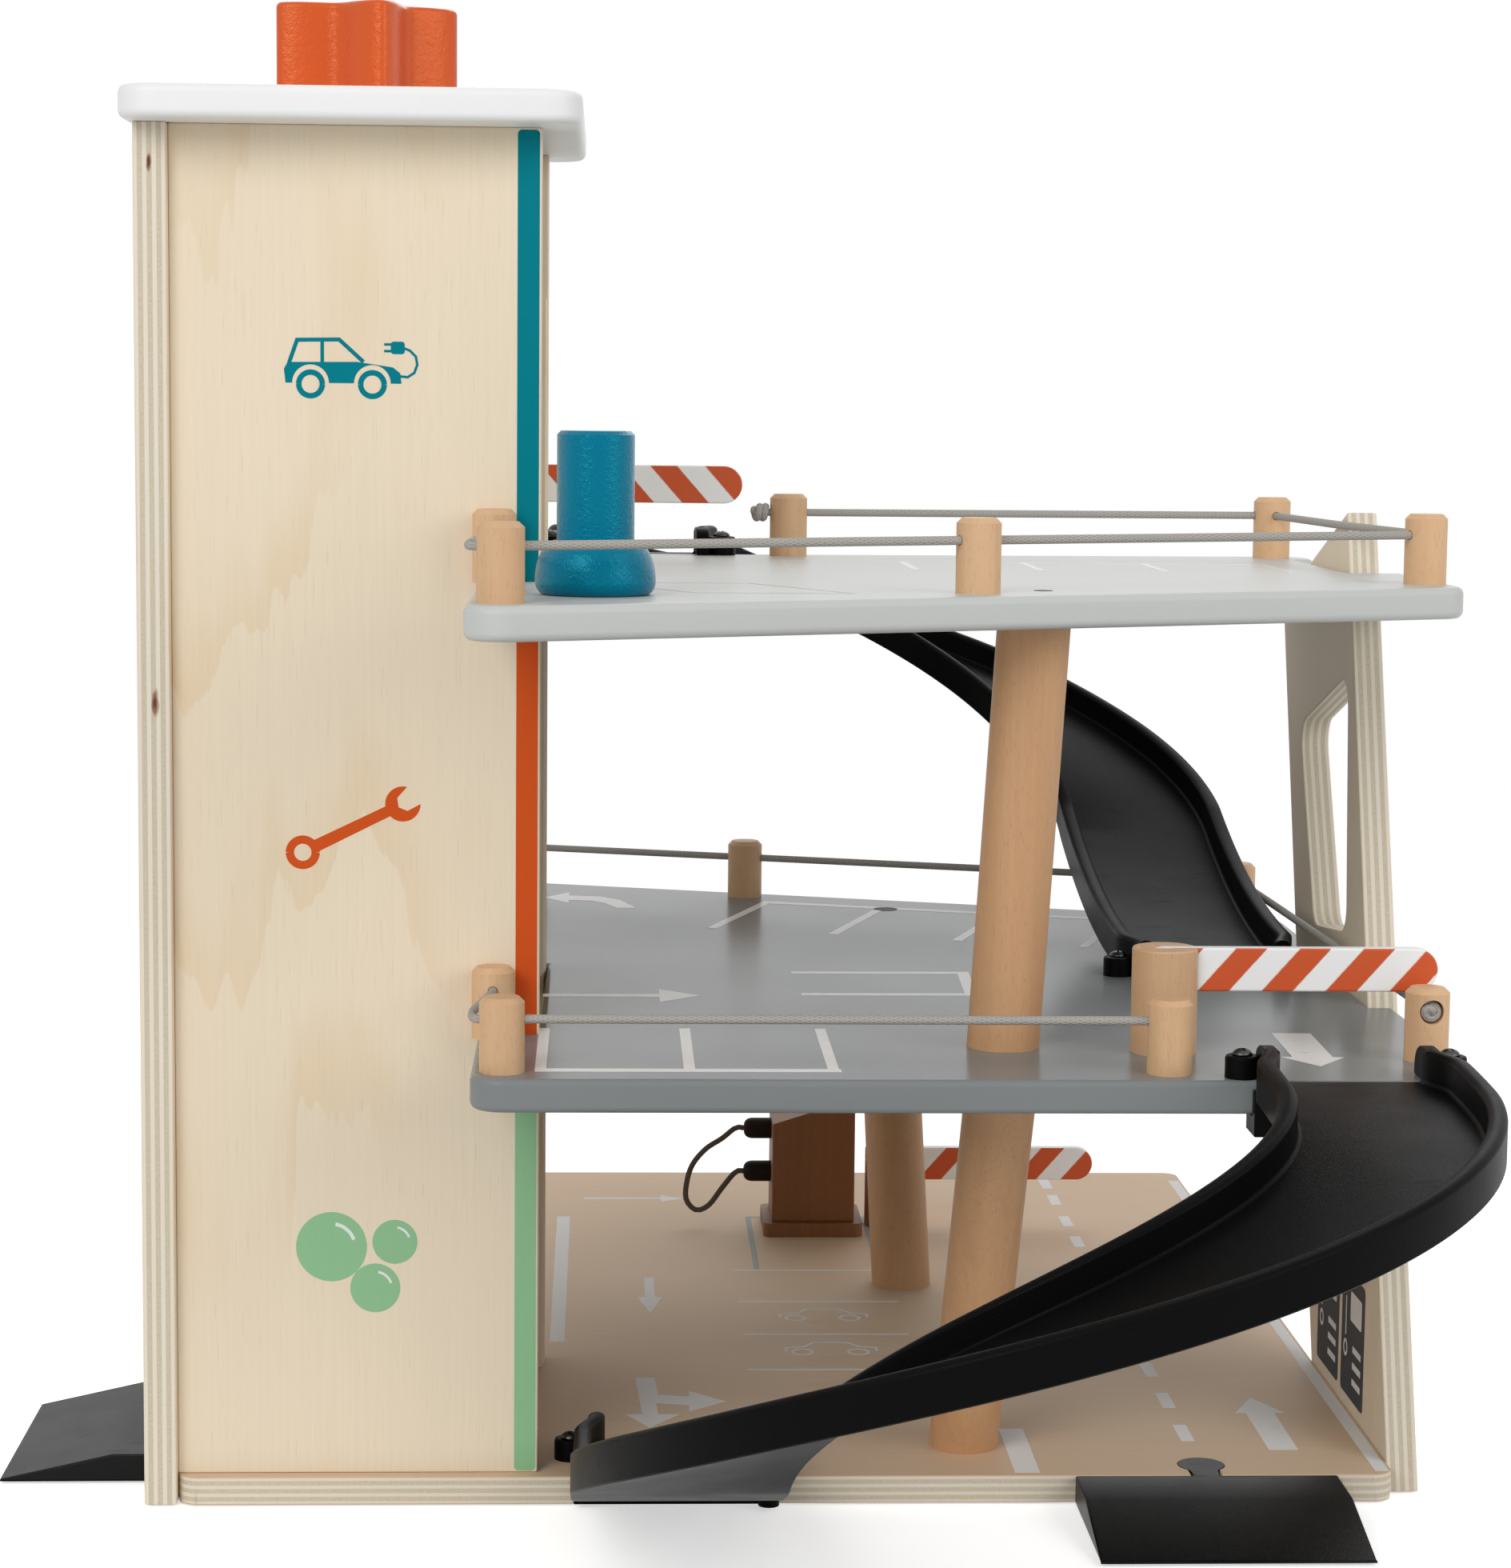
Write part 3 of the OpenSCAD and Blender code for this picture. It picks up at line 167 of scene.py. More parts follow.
class Val:
    """A shader socket that takes part in Python expressions."""

    def __init__(self, finish, socket):
        self.finish, self.socket = finish, socket

    def calc(self, operation, *others):
        return self.finish.node("ShaderNodeMath", dict(enumerate((self, *others))), operation=operation)

    def __add__(self, other):
        return self.calc("ADD", other)

    def __sub__(self, other):
        return self.calc("SUBTRACT", other)

    def __rsub__(self, other):
        return self.finish.node("ShaderNodeMath", {0: other, 1: self}, operation="SUBTRACT")

    def __mul__(self, other):
        return self.calc("MULTIPLY", other)

    def __truediv__(self, other):
        return self.calc("DIVIDE", other)

    def __lt__(self, other):
        return self.calc("LESS_THAN", other)

    def __gt__(self, other):
        return self.calc("GREATER_THAN", other)

    __radd__, __rmul__ = __add__, __mul__

    def step(self, low, high):
        """0 below low, 1 above high, smooth between."""
        return self.finish.node("ShaderNodeMapRange", {"Value": self, "From Min": low, "From Max": high},
                                interpolation_type="SMOOTHSTEP")


class Finish:
    """A material, or the world, under construction."""

    def __init__(self, name, owner=None):
        self.mat = owner or bpy.data.materials.new(name)
        self.mat.use_nodes = True
        self.tree = self.mat.node_tree
        self.shader = next(n for n in self.tree.nodes if n.type in ("BSDF_PRINCIPLED", "BACKGROUND"))
        self.place = self.node("ShaderNodeTexCoord", out="Object")

    def node(self, kind, sockets=None, out=0, **settings):
        given = {key: value.socket if isinstance(value, Val) else value for key, value in (sockets or {}).items()}
        return Val(self, new_node(self.tree, kind, given, settings).outputs[out])

    def seen(self):
        """1 for rays that come from the camera or off metal and glass, 0 for the light itself."""
        rays = self.node("ShaderNodeLightPath").socket.node.outputs
        kinds = ("Camera", "Glossy", "Transmission")
        camera, gloss, glass = (Val(self, rays["Is %s Ray" % kind]) for kind in kinds)
        return camera.calc("MAXIMUM", gloss).calc("MAXIMUM", glass)

    def axes(self, source=None):
        parts = self.node("ShaderNodeSeparateXYZ", {0: source or self.place})
        return [Val(self, s) for s in parts.socket.node.outputs]

    def vector(self, operation, *sockets, out=0):
        return self.node("ShaderNodeVectorMath", dict(enumerate(sockets)), out, operation=operation)

    def noise(self, scale, stretch=(1, 1, 1), detail=2.0, distortion=0.0):
        spot = self.vector("MULTIPLY", self.place, stretch)
        return self.node("ShaderNodeTexNoise", {
            "Vector": spot, "Scale": scale, "Detail": detail, "Distortion": distortion})

    def mix(self, share, first, second):
        """From the first colour to the second by share."""
        full = [c if isinstance(c, Val) else (*c, 1.0) for c in (first, second)]
        return self.node("ShaderNodeMix", {0: share, 6: full[0], 7: full[1]}, 2, data_type="RGBA")

    def bump(self, height, strength, distance):
        return self.node("ShaderNodeBump", {"Height": height, "Strength": strength, "Distance": distance})

    def surface(self, colour, rough, normal=None, **fixed):
        for key, value in (("Base Color", colour), ("Roughness", rough), ("Normal", normal)):
            if isinstance(value, Val):
                self.tree.links.new(value.socket, self.shader.inputs[key])
            elif value is not None:
                self.shader.inputs[key].default_value = (*value, 1) if key == "Base Color" else value
        for key, value in fixed.items():
            self.shader.inputs[key.replace("_", " ")].default_value = value
        return self.mat


def along(axis, scale):
    """Stretch of a pattern that runs along one axis."""
    return tuple(scale if k == axis else 1.0 for k in range(3))


def between(first, second, share):
    """A tone on the way from the first to the second."""
    return tuple(a * (1 - share) + b * share for a, b in zip(first, second))


def shade(tone, factor):
    return tuple(min(1.0, c * factor) for c in tone)


# Finishes

PLIES, KNOT_STRETCH = 7, (1.6, 1.6, 0.45)


def plywood(name, layer, start, thick, grain, face=None, knots=()):
    """Birch plywood: figured face veneer, and alternate plies where the edge cuts through them."""
    c = colours()
    face = face or c.birch
    f = Finish(name)
    axes = f.axes()
    wave = axes[grain] * 9 + f.noise(24, along(grain, 0.14), 3, 0.4) * 3
    contour = (wave + f.noise(420, along(grain, 0.1), 1) * 0.12).calc("FRACT")
    crest = (1 - contour.step(0.02, 0.5)) * contour.step(0.0, 0.02)
    flame = crest * f.noise(9, along(grain, 0.7)).step(0.5, 0.68)
    cloud = f.noise(15, along(grain, 0.25))
    fibre = f.noise(1300, along(grain, 0.02))
    pore = f.noise(2100, along(grain, 0.04), 1).step(0.66, 0.74)
    veneer = f.mix(flame * 0.5, face, tuple(a * b / d for a, b, d in zip(face, c.birch_flame, c.birch)))
    veneer = f.mix(cloud.step(0.35, 0.7) * 0.3, veneer, shade(face, 0.9))
    veneer = f.mix((fibre - 0.3) * 0.4, veneer, shade(face, 0.82))
    veneer = f.mix(pore * 0.25, veneer, shade(face, 0.6))
    share = ((axes[layer] - start * MM) / (thick * MM)).calc("MINIMUM", 0.995).calc("MAXIMUM", 0.005)
    depth = share * PLIES
    cross = (depth * 0.5).calc("FRACT").step(0.47, 0.53) * (1 - (depth * 0.5).calc("FRACT").step(0.96, 1.0))
    glue = 1 - (depth.calc("FRACT") - 0.5).calc("ABSOLUTE").step(0.36, 0.5) * 0.35
    speckle = f.noise(1300).step(0.35, 0.7)
    core = f.mix(speckle * 0.5, c.birch_core, shade(c.birch_core, 0.8))
    inside = (depth > 0.3) * (depth < PLIES - 0.3)
    body = f.mix(cross, f.mix(inside * 0.85, veneer, c.birch_edge), core)
    body = f.mix((1 - glue) * inside, body, shade(c.birch_core, 0.66))
    for x, y, z, r in knots:
        spot = f.vector("MULTIPLY", f.vector("SUBTRACT", f.place, tuple(at(x, y, z))), KNOT_STRETCH)
        near = f.vector("LENGTH", spot, out="Value")
        near = near + (f.noise(900, (1, 1, 0.4), 2) - 0.5) * (r * 0.0008)
        body = f.mix((1 - near.step(r * 0.0005, r * 0.001)) * 0.85, body, paint_tone(132, 78, 36))
        body = f.mix((1 - near.step(r * 0.0002, r * 0.0005)) * 0.8, body, paint_tone(60, 34, 18))
    rough = 0.52 + fibre * 0.12 + cross * 0.1
    height = fibre * 0.6 + cross * speckle * 0.8 - glue * inside
    return f.surface(body, rough, f.bump(height, 0.22, 0.0002), Specular_IOR_Level=0.4)


def beech(name, tone, ray):
    """Beech: even brown with short dark rays along its upright grain."""
    f, grain = Finish(name), 2
    ring = f.noise(130, along(grain, 0.05), 3, 0.4)
    fleck = f.noise(2200, along(grain, 0.14), 1).step(0.6, 0.7)
    fibre = f.noise(2400, along(grain, 0.02))
    streak = f.noise(420, along(grain, 0.03), 2, 0.3)
    body = f.mix(ring.step(0.3, 0.75) * 0.7, tone, between(tone, ray, 0.38))
    body = f.mix(streak.step(0.45, 0.7) * 0.3, body, between(tone, ray, 0.5))
    body = f.mix(fleck * 0.34, body, ray)
    body = f.mix(fibre * 0.25, body, shade(tone, 0.86))
    return f.surface(body, 0.46 + fibre * 0.14, f.bump(fleck * -0.5 + fibre * 0.4, 0.2, 0.0002),
                     Specular_IOR_Level=0.45)


def painted(name, tone, rough=0.38, peel=0.12, grain=0.0, wear=0.1, wrinkle=620, shine=0.26, tint=(1, 1, 1)):
    """Sprayed paint on wood: slight unevenness, fine orange peel, and the wood's pores below it."""
    f = Finish(name)
    cloud = f.noise(24, detail=3)
    ripple = f.noise(wrinkle)
    fine = f.noise(2300, detail=1)
    body = f.mix(cloud.step(0.3, 0.75) * wear * 2, tone, shade(tone, 0.93))
    body = f.mix(fine.step(0.64, 0.72) * wear, body, shade(tone, 0.72))
    height = ripple * 0.7 + fine * 0.3
    if grain:
        pores = f.noise(1100, along(0, 0.05))
        height = height + pores * grain
        body = f.mix(pores.step(0.62, 0.74) * grain * 0.18, body, shade(tone, 0.8))
    return f.surface(body, rough + cloud * 0.1, f.bump(height, peel, 0.0003),
                     Specular_IOR_Level=shine, Specular_Tint=(*tint, 1))


def moulded(name, tone, rough=0.32, shine=0.035):
    """Black moulded plastic with a fine spark-eroded surface and faint scuffs."""
    f = Finish(name)
    spark = f.noise(2600)
    blotch = f.noise(60, detail=3)
    scuff = f.noise(420, (0.12, 1, 0.4), 3).step(0.63, 0.74)
    body = f.mix(spark.step(0.4, 0.8) * 0.3, tone, shade(tone, 1.8))
    body = f.mix(scuff * blotch.step(0.45, 0.7) * 0.3, body, shade(tone, 2.6))
    return f.surface(body, rough + blotch * 0.12 + scuff * 0.08, f.bump(spark, 0.5, 0.00014),
                     Specular_IOR_Level=shine)


def ink(name, tone, ground, wood=True, shine=0.06):
    """Screen-printed ink, thin enough for the ground to grin through its grain."""
    f = Finish(name)
    fibre = f.noise(1500, (1, 0.04, 0.04) if wood else (1, 1, 1), 2)
    thin = f.noise(300, detail=3).step(0.62, 0.8)
    body = f.mix((fibre - 0.35) * 0.35, tone, shade(tone, 0.86))
    body = f.mix(thin * 0.3, body, ground)
    rough = (0.5 if wood else 0.2) + fibre * 0.1
    return f.surface(body, rough, f.bump(fibre, 0.1, 0.0001), Specular_IOR_Level=shine)


def steel(name="bright_steel", tone=(0.62, 0.62, 0.61)):
    f = Finish(name)
    brush = f.noise(900, (1, 1, 0.05), 2)
    body = f.mix(brush, shade(tone, 0.68), tone)
    return f.surface(body, 0.26 + brush * 0.16, f.bump(brush, 0.08, 0.0001), Metallic=1.0)


def braid(name, tone, strands, pitch):
    """Round braid: strands that cross over and under each other on a cord, with painted shade in the crevices
    between the strands and a painted highlight on their crowns.
    """
    f = Finish(name)
    turn = f.node("ShaderNodeAttribute", out="Vector", attribute_name="braid")
    c, s, run = f.axes(turn)
    angle = s.calc("ARCTAN2", c) * strands
    advance = run * (2 * math.pi / pitch)
    over = (angle + advance).calc("SINE")
    under = (angle - advance).calc("SINE")
    weave = over.calc("MAXIMUM", under)
    lint = f.noise(2600)
    # painted shade and highlight: the one cord tone is drawn darker where the weave is low, between the strands,
    # and a little lighter on their crowns
    body = f.mix(weave.step(-0.1, 1.0), shade(tone, 0.76), shade(tone, 1.06))
    body = f.mix(lint * 0.3, body, shade(tone, 0.84))
    return f.surface(body, 0.72 + lint * 0.12, f.bump(weave + lint * 0.3, 0.5, 0.00012),
                     Specular_IOR_Level=0.3)


def striped(name, pivot, slant, shift, half):
    """White barrier arm with slanted orange stripes on both faces, and white rims."""
    c = colours()
    f = Finish(name)
    x, y, z = f.axes()
    slope = (x - (pivot.x + shift)) - (z - pivot.z) * slant
    bar = (slope / sizes().stripe).calc("FRACT")
    wobble = f.noise(900)
    mask = (bar + wobble * 0.02).step(0.49, 0.53) * (1 - (bar + wobble * 0.02).step(0.985, 1.02))
    mask = mask * ((y - pivot.y).calc("ABSOLUTE") > half - 0.0003)
    cloud = f.noise(60, detail=3)
    body = f.mix(mask, f.mix(cloud * 0.25, c.arm, shade(c.arm, 0.9)),
                 f.mix(cloud * 0.3, c.orange, shade(c.orange, 0.8)))
    return f.surface(body, 0.42 + wobble * 0.1, f.bump(wobble + mask * 0.5, 0.12, 0.0002),
                     Specular_IOR_Level=0.45)


# Mesh helpers

def place(name, mesh, finish, body, slot, *nodes):
    """A finished piece at the origin that rides on a body and stands for CAD nodes."""
    piece = bpy.data.objects.new(name, mesh)
    bpy.context.scene.collection.objects.link(piece)
    mesh.materials.clear()
    mesh.materials.append(finish)
    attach(piece, body)
    if nodes:
        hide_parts(*nodes)
    return piece


def to_mesh(name, bm):
    mesh = bpy.data.meshes.new(name)
    bm.to_mesh(mesh)
    bm.free()
    return mesh


def smooth(mesh, turn):
    """Smooth shading, sharp where faces turn by more than the given angle."""
    mesh.polygons.foreach_set("use_smooth", [True] * len(mesh.polygons))
    mesh.set_sharp_from_angle(angle=math.radians(turn))


def settled(mesh, turn=40):
    """Smooth shading with true flats: sharp where faces turn by more than the given angle."""
    holder = bpy.data.objects.new("holder", mesh)
    bpy.context.scene.collection.objects.link(holder)
    smooth(mesh, turn)
    holder.modifiers.new("flats", "WEIGHTED_NORMAL").keep_sharp = True
    result = plain(holder)
    bpy.data.objects.remove(holder)
    return result


def plain(obj):
    """The evaluated object as a mesh of its own."""
    bpy.context.view_layer.update()
    graph = bpy.context.evaluated_depsgraph_get()
    return bpy.data.meshes.new_from_object(obj.evaluated_get(graph), depsgraph=graph)


def copied(node):
    """A merged copy of a CAD node's mesh, with flat faces joined up again."""
    bm = bmesh.new()
    bm.from_mesh(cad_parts[node].data)
    bmesh.ops.remove_doubles(bm, verts=bm.verts, dist=SEAM)
    bmesh.ops.dissolve_limit(bm, angle_limit=math.radians(0.4), verts=bm.verts, edges=bm.edges,
                             use_dissolve_boundaries=False)
    return bm


def eased(node, finish, edge, body, slot, steps=3, least=0.0008, pick=None):
    """A CAD node with its long edges, or those that are picked, rounded as sanding leaves them."""
    bm = copied(node)
    long_edges = [e for e in bm.edges if e.is_manifold and e.calc_length() > least
                  and e.calc_face_angle(0) > SHARP and (pick is None or pick(e))]
    bmesh.ops.bevel(bm, geom=long_edges, offset=edge, segments=steps, profile=0.5, affect="EDGES",
                    clamp_overlap=False)
    bm.normal_update()
    return place(node + "_eased", settled(to_mesh(node, bm)), finish, body, slot, node)


def finish_node(node, finish):
    """A CAD node that keeps its shape takes a better finish."""
    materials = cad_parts[node].data.materials
    materials.clear()
    materials.append(finish)


def skin(bm, rings, inward=False):
    """Faces through rings of equal length, from the first to the last, with both ends filled."""
    rows = [[bm.verts.new(p) for p in ring] for ring in rings]
    for low, high in zip(rows, rows[1:]):
        for a, b, c, d in zip(low, low[1:] + low[:1], high[1:] + high[:1], high):
            bm.faces.new((a, d, c, b) if inward else (a, b, c, d))
    bm.faces.new(rows[0] if inward else rows[0][::-1])
    bm.faces.new(rows[-1][::-1] if inward else rows[-1])


def lofted(name, rings):
    """A mesh through rings, closed at both ends."""
    bm = bmesh.new()
    skin(bm, rings)
    bmesh.ops.recalc_face_normals(bm, faces=bm.faces)
    return to_mesh(name, bm)


# Prints

class Print:
    """Flat shapes of ink on one face of a board, drawn in that face's two plan directions."""
    FILM_STEP = 0.0004

    def __init__(self, fixed, value, outward):
        self.fixed, self.value, self.outward = fixed, value, outward
        self.bm, self.films = bmesh.new(), 0

    def point(self, a, b, lift):
        level = self.value + self.outward * lift
        return at(level, a, b) if self.fixed == 0 else at(a, level, b) if self.fixed == 1 else at(a, b, level)

    def shape(self, points):
        """A filled outline, as a film that reaches a little into the board; no two films share a face."""
        self.films += 1
        thick = sizes().ink * 1000 + self.films * self.FILM_STEP
        skin(self.bm, [[self.point(a, b, lift) for a, b in points] for lift in (-thick, thick)])

    def line(self, points, width):
        """A stroke of even width through the points."""
        left, right = [], []
        for k, (a, b) in enumerate(points):
            before = Vector(points[max(k - 1, 0)])
            after = Vector(points[min(k + 1, len(points) - 1)])
            here = Vector((a, b))
            first = (here - before).normalized() if k else (after - here).normalized()
            last = (after - here).normalized() if k < len(points) - 1 else first
            mid = (first + last).normalized()
            side = Vector((-mid.y, mid.x)) * (width / 2 / max(0.4, mid.dot(first)))
            left.append(tuple(here + side))
            right.append(tuple(here - side))
        self.shape(left + right[::-1])

    def ring(self, a, b, radius, width, start=0, sweep=360):
        """A round stroke, whole or part, made of two halves so that it stays open in the middle."""
        parts = 2 if sweep == 360 else 1
        for part in range(parts):
            self.line(arc(a, b, radius, start + part * sweep / parts, sweep / parts, 20), width)

    def disc(self, a, b, radius):
        self.shape(circle(a, b, radius, 48))

    def bar(self, a0, a1, b0, b1, corner=0.0):
        """A rectangle with rounded corners."""
        if not corner:
            self.shape([(a0, b0), (a1, b0), (a1, b1), (a0, b1)])
            return
        points = []
        for ca, cb, turn in ((a1 - corner, b1 - corner, 0), (a0 + corner, b1 - corner, 90),
                             (a0 + corner, b0 + corner, 180), (a1 - corner, b0 + corner, 270)):
            points += arc(ca, cb, corner, turn, 90, 6)
        self.shape(points)

    def arrow(self, tail, tip, shaft, head, wide):
        """A road arrow with a straight shaft."""
        start, end = Vector(tail), Vector(tip)
        way = (end - start).normalized()
        side = Vector((-way.y, way.x))
        neck = end - way * head
        self.shape([tuple(p) for p in (
            start + side * shaft / 2, start - side * shaft / 2, neck - side * shaft / 2, neck - side * wide / 2,
            end, neck + side * wide / 2, neck + side * shaft / 2)])

    def lay(self, name, finish, slot="birch_ply"):
        bmesh.ops.recalc_face_normals(self.bm, faces=self.bm.faces)
        place(name, to_mesh(name, self.bm), finish, "frame", slot)


# Geometry Nodes

def tree_with(name, inputs):
    """An empty tree with named inputs, and a helper that adds nodes and their links."""
    tree = bpy.data.node_groups.new(name, "GeometryNodeTree")
    tree.interface.new_socket("Geometry", in_out="INPUT", socket_type="NodeSocketGeometry")
    for label, kind in inputs:
        tree.interface.new_socket(label, in_out="INPUT", socket_type=kind)
    tree.interface.new_socket("Geometry", in_out="OUTPUT", socket_type="NodeSocketGeometry")
    source = tree.nodes.new("NodeGroupInput")

    def add(kind, sockets=None, out=0, **settings):
        return new_node(tree, kind, sockets, settings).outputs[out]

    return tree, source.outputs, add


def end_tree(tree, add, geometry, material):
    real = add("GeometryNodeRealizeInstances", {0: geometry})
    done = add("GeometryNodeSetMaterial", {"Geometry": real, "Material": material})
    last = tree.nodes.new("NodeGroupOutput")
    tree.links.new(done, last.inputs[0])


def grow(holder, tree, values):
    """The mesh that a tree makes from a holder object, with the tree's inputs set by identifier."""
    bpy.context.scene.collection.objects.link(holder)
    modifier = holder.modifiers.new("tree", "NODES")
    modifier.node_group = tree
    names = {s.name: s.identifier for s in tree.interface.items_tree
             if s.item_type == "SOCKET" and s.in_out == "INPUT"}
    for label, value in values.items():
        modifier[names[label]] = value
    mesh = plain(holder)
    holder.modifiers.clear()
    bpy.data.objects.remove(holder)
    return mesh


def cord_tree():
    """A round cord along a curve, which keeps its turn and its run for the braid."""
    tree, given, add = tree_with("Cord", (("Radius", "NodeSocketFloat"), ("Sides", "NodeSocketInt"),
                                          ("Material", "NodeSocketMaterial")))

    def kept(geometry, label, measure):
        """A curve and a measure along it that is kept for each of its points."""
        made = tree.nodes.new("GeometryNodeCaptureAttribute")
        made.capture_items.new("FLOAT", label)
        tree.links.new(geometry, made.inputs[0])
        tree.links.new(add("GeometryNodeSplineParameter", out=measure), made.inputs[1])
        return made.outputs[0], made.outputs[1]

    path, run = kept(given["Geometry"], "run", "Length")
    profile, turn = kept(add("GeometryNodeCurvePrimitiveCircle", {
        "Resolution": given["Sides"], "Radius": given["Radius"]}), "turn", "Factor")
    tube = add("GeometryNodeCurveToMesh", {"Curve": path, "Profile Curve": profile, "Fill Caps": True})
    angle = add("ShaderNodeMath", {0: turn, 1: 2 * math.pi}, operation="MULTIPLY")
    vector = add("ShaderNodeCombineXYZ", {
        0: add("ShaderNodeMath", {0: angle}, operation="COSINE"),
        1: add("ShaderNodeMath", {0: angle}, operation="SINE"), 2: run})
    stored = add("GeometryNodeStoreNamedAttribute", {"Geometry": tube, "Name": "braid", "Value": vector},
                 data_type="FLOAT_VECTOR", domain="POINT")
    end_tree(tree, add, add("GeometryNodeSetShadeSmooth", {"Geometry": stored}), given["Material"])
    return tree


def curve_holder(name, points):
    curve = bpy.data.curves.new(name, "CURVE")
    curve.dimensions = "3D"
    line = curve.splines.new("POLY")
    line.points.add(len(points) - 1)
    for spot, p in zip(line.points, points):
        spot.co = (*p, 1)
    return bpy.data.objects.new(name, curve)


def rounded_path(corners, radius, steps):
    """A path through corners, with each corner turned on an arc."""
    path = [corners[0]]
    for before, here, after in zip(corners, corners[1:], corners[2:]):
        to, on = (before - here), (after - here)
        reach = min(radius, to.length * 0.45, on.length * 0.45)
        first, last = here + to.normalized() * reach, here + on.normalized() * reach
        for k in range(steps + 1):
            t = k / steps
            path.append(first * (1 - t) ** 2 + here * 2 * t * (1 - t) + last * t ** 2)
    return path + [corners[-1]]


def knotted(path, thick):
    """A path with a knot round its last point: the cord goes through, winds back over itself and ends."""
    end, turns, steps = path[-1], 2, 40
    way = (end - path[-2]).normalized()
    side, up = way.cross(Vector((0, 0, 1))), Vector((0, 0, 1))
    path = path[:-1] + [end + way * thick * 0.7]
    for k in range(steps + 1):
        turn = 2 * math.pi * turns * k / steps
        reach = thick * 0.75 * min(1.0, (k + 1) / 5)
        back = thick * (0.85 - 1.6 * k / steps)
        path.append(end + way * back + (up * math.cos(turn) + side * math.sin(turn)) * reach)
    return path + [path[-1] + side * thick * 0.5]


def flowing_path(corners, steps):
    """A smooth curve through all corners, evenly spaced along its length."""
    fine, parts = [], 24
    count = len(corners)
    for k in range(count - 1):
        p0, p1, p2, p3 = (corners[max(0, min(count - 1, k + d))] for d in (-1, 0, 1, 2))
        for j in range(parts):
            t = j / parts
            fine.append(0.5 * ((2 * p1) + (p2 - p0) * t + (2 * p0 - 5 * p1 + 4 * p2 - p3) * t * t
                               + (3 * p1 - p0 - 3 * p2 + p3) * t ** 3))
    fine.append(corners[-1])
    runs = [0.0]
    for a, b in zip(fine, fine[1:]):
        runs.append(runs[-1] + (b - a).length)
    path, k = [], 0
    for j in range(steps + 1):
        goal = runs[-1] * j / steps
        while k < len(runs) - 2 and runs[k + 1] < goal:
            k += 1
        span = max(1e-9, runs[k + 1] - runs[k])
        path.append(fine[k].lerp(fine[k + 1], (goal - runs[k]) / span))
    return path, runs[-1]


SCREW_HEAD = 0.0018


def screw_tree():
    """Cross-recessed screws on points, each turned about its own axis by a seeded chance."""
    lengths = ("Head radius", "Head height", "Shank radius", "Reach", "Recess")
    tree, given, add = tree_with("Screws", (
        *((label, "NodeSocketFloat") for label in lengths), ("Material", "NodeSocketMaterial")))

    def times(value, factor):
        return add("ShaderNodeMath", {0: value, 1: factor}, operation="MULTIPLY")

    def triple(x=0.0, y=0.0, z=0.0):
        return add("ShaderNodeCombineXYZ", {0: x, 1: y, 2: z})

    def moved(geometry, way, value):
        return add("GeometryNodeTransform", {"Geometry": geometry, way: value})

    def block(*edges):
        return add("GeometryNodeMeshCube", {"Size": triple(*edges)})

    wide, high = given["Head radius"], given["Head height"]
    dome = add("GeometryNodeMeshUVSphere", {"Segments": 28, "Rings": 14, "Radius": wide})
    flat = add("ShaderNodeMath", {0: high, 1: wide}, operation="DIVIDE")
    head = moved(dome, "Scale", triple(1.0, 1.0, flat))
    below = block(times(wide, 3), times(wide, 3), times(high, 2))
    cuts = [moved(below, "Translation", triple(z=times(high, -1.0)))]
    for turn in (0, math.pi / 2):
        blade = moved(block(times(wide, 1.15), given["Recess"], high), "Translation", triple(z=high))
        cuts.append(moved(blade, "Rotation", (0.0, 0.0, turn)))
    for cut in cuts:
        head = add("GeometryNodeMeshBoolean", {0: head, 1: cut}, operation="DIFFERENCE")
    shank = add("GeometryNodeMeshCylinder", {
        "Vertices": 16, "Radius": given["Shank radius"], "Depth": given["Reach"]})
    shank = moved(shank, "Translation", triple(z=times(given["Reach"], -0.5)))
    whole = tree.nodes.new("GeometryNodeJoinGeometry")
    for piece in (head, shank):
        tree.links.new(piece, whole.inputs[0])
    way = add("GeometryNodeInputNamedAttribute", {"Name": "way"}, data_type="FLOAT_VECTOR")
    upright = add("FunctionNodeAlignRotationToVector", {"Vector": way}, axis="Z")
    spin = add("FunctionNodeRandomValue", {2: 0.0, 3: 3.1, "Seed": 7}, 1, data_type="FLOAT")
    turned = add("FunctionNodeEulerToRotation", {0: triple(z=spin)})
    spun = add("FunctionNodeRotateRotation", {0: upright, 1: turned}, rotation_space="LOCAL")
    points = add("GeometryNodeMeshToPoints", {0: given["Geometry"]})
    set_out = add("GeometryNodeInstanceOnPoints", {
        "Points": points, "Instance": whole.outputs[0], "Rotation": spun})
    end_tree(tree, add, set_out, given["Material"])
    return tree


def screw_spots(node):
    """Where each screw of a CAD node has its head's underside, and which way the head points."""
    bm = bmesh.new()
    bm.from_mesh(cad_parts[node].data)
    bmesh.ops.remove_doubles(bm, verts=bm.verts, dist=SEAM)
    left, spots = set(bm.verts), []
    while left:
        island, queue = set(), [left.pop()]
        while queue:
            v = queue.pop()
            island.add(v)
            for e in v.link_edges:
                other = e.other_vert(v)
                if other in left:
                    left.discard(other)
                    queue.append(other)
        points = [v.co.copy() for v in island]
        low = Vector([min(p[k] for p in points) for k in range(3)])
        high = Vector([max(p[k] for p in points) for k in range(3)])
        axis = max(range(3), key=lambda k: (high - low)[k])
        side = (axis + 1) % 3
        mid = (low + high) / 2
        wide = {end: max(abs(p[side] - mid[side]) for p in points if abs(p[axis] - end) < 1e-5)
                for end in (low[axis], high[axis])}
        sign = 1 if wide[high[axis]] > wide[low[axis]] else -1
        way = Vector([sign if k == axis else 0 for k in range(3)])
        top = mid.copy()
        top[axis] = high[axis] if sign > 0 else low[axis]
        spots.append((top - way * SCREW_HEAD, way))
    bm.free()
    return sorted(spots, key=lambda s: tuple(s[0]))


# Operators

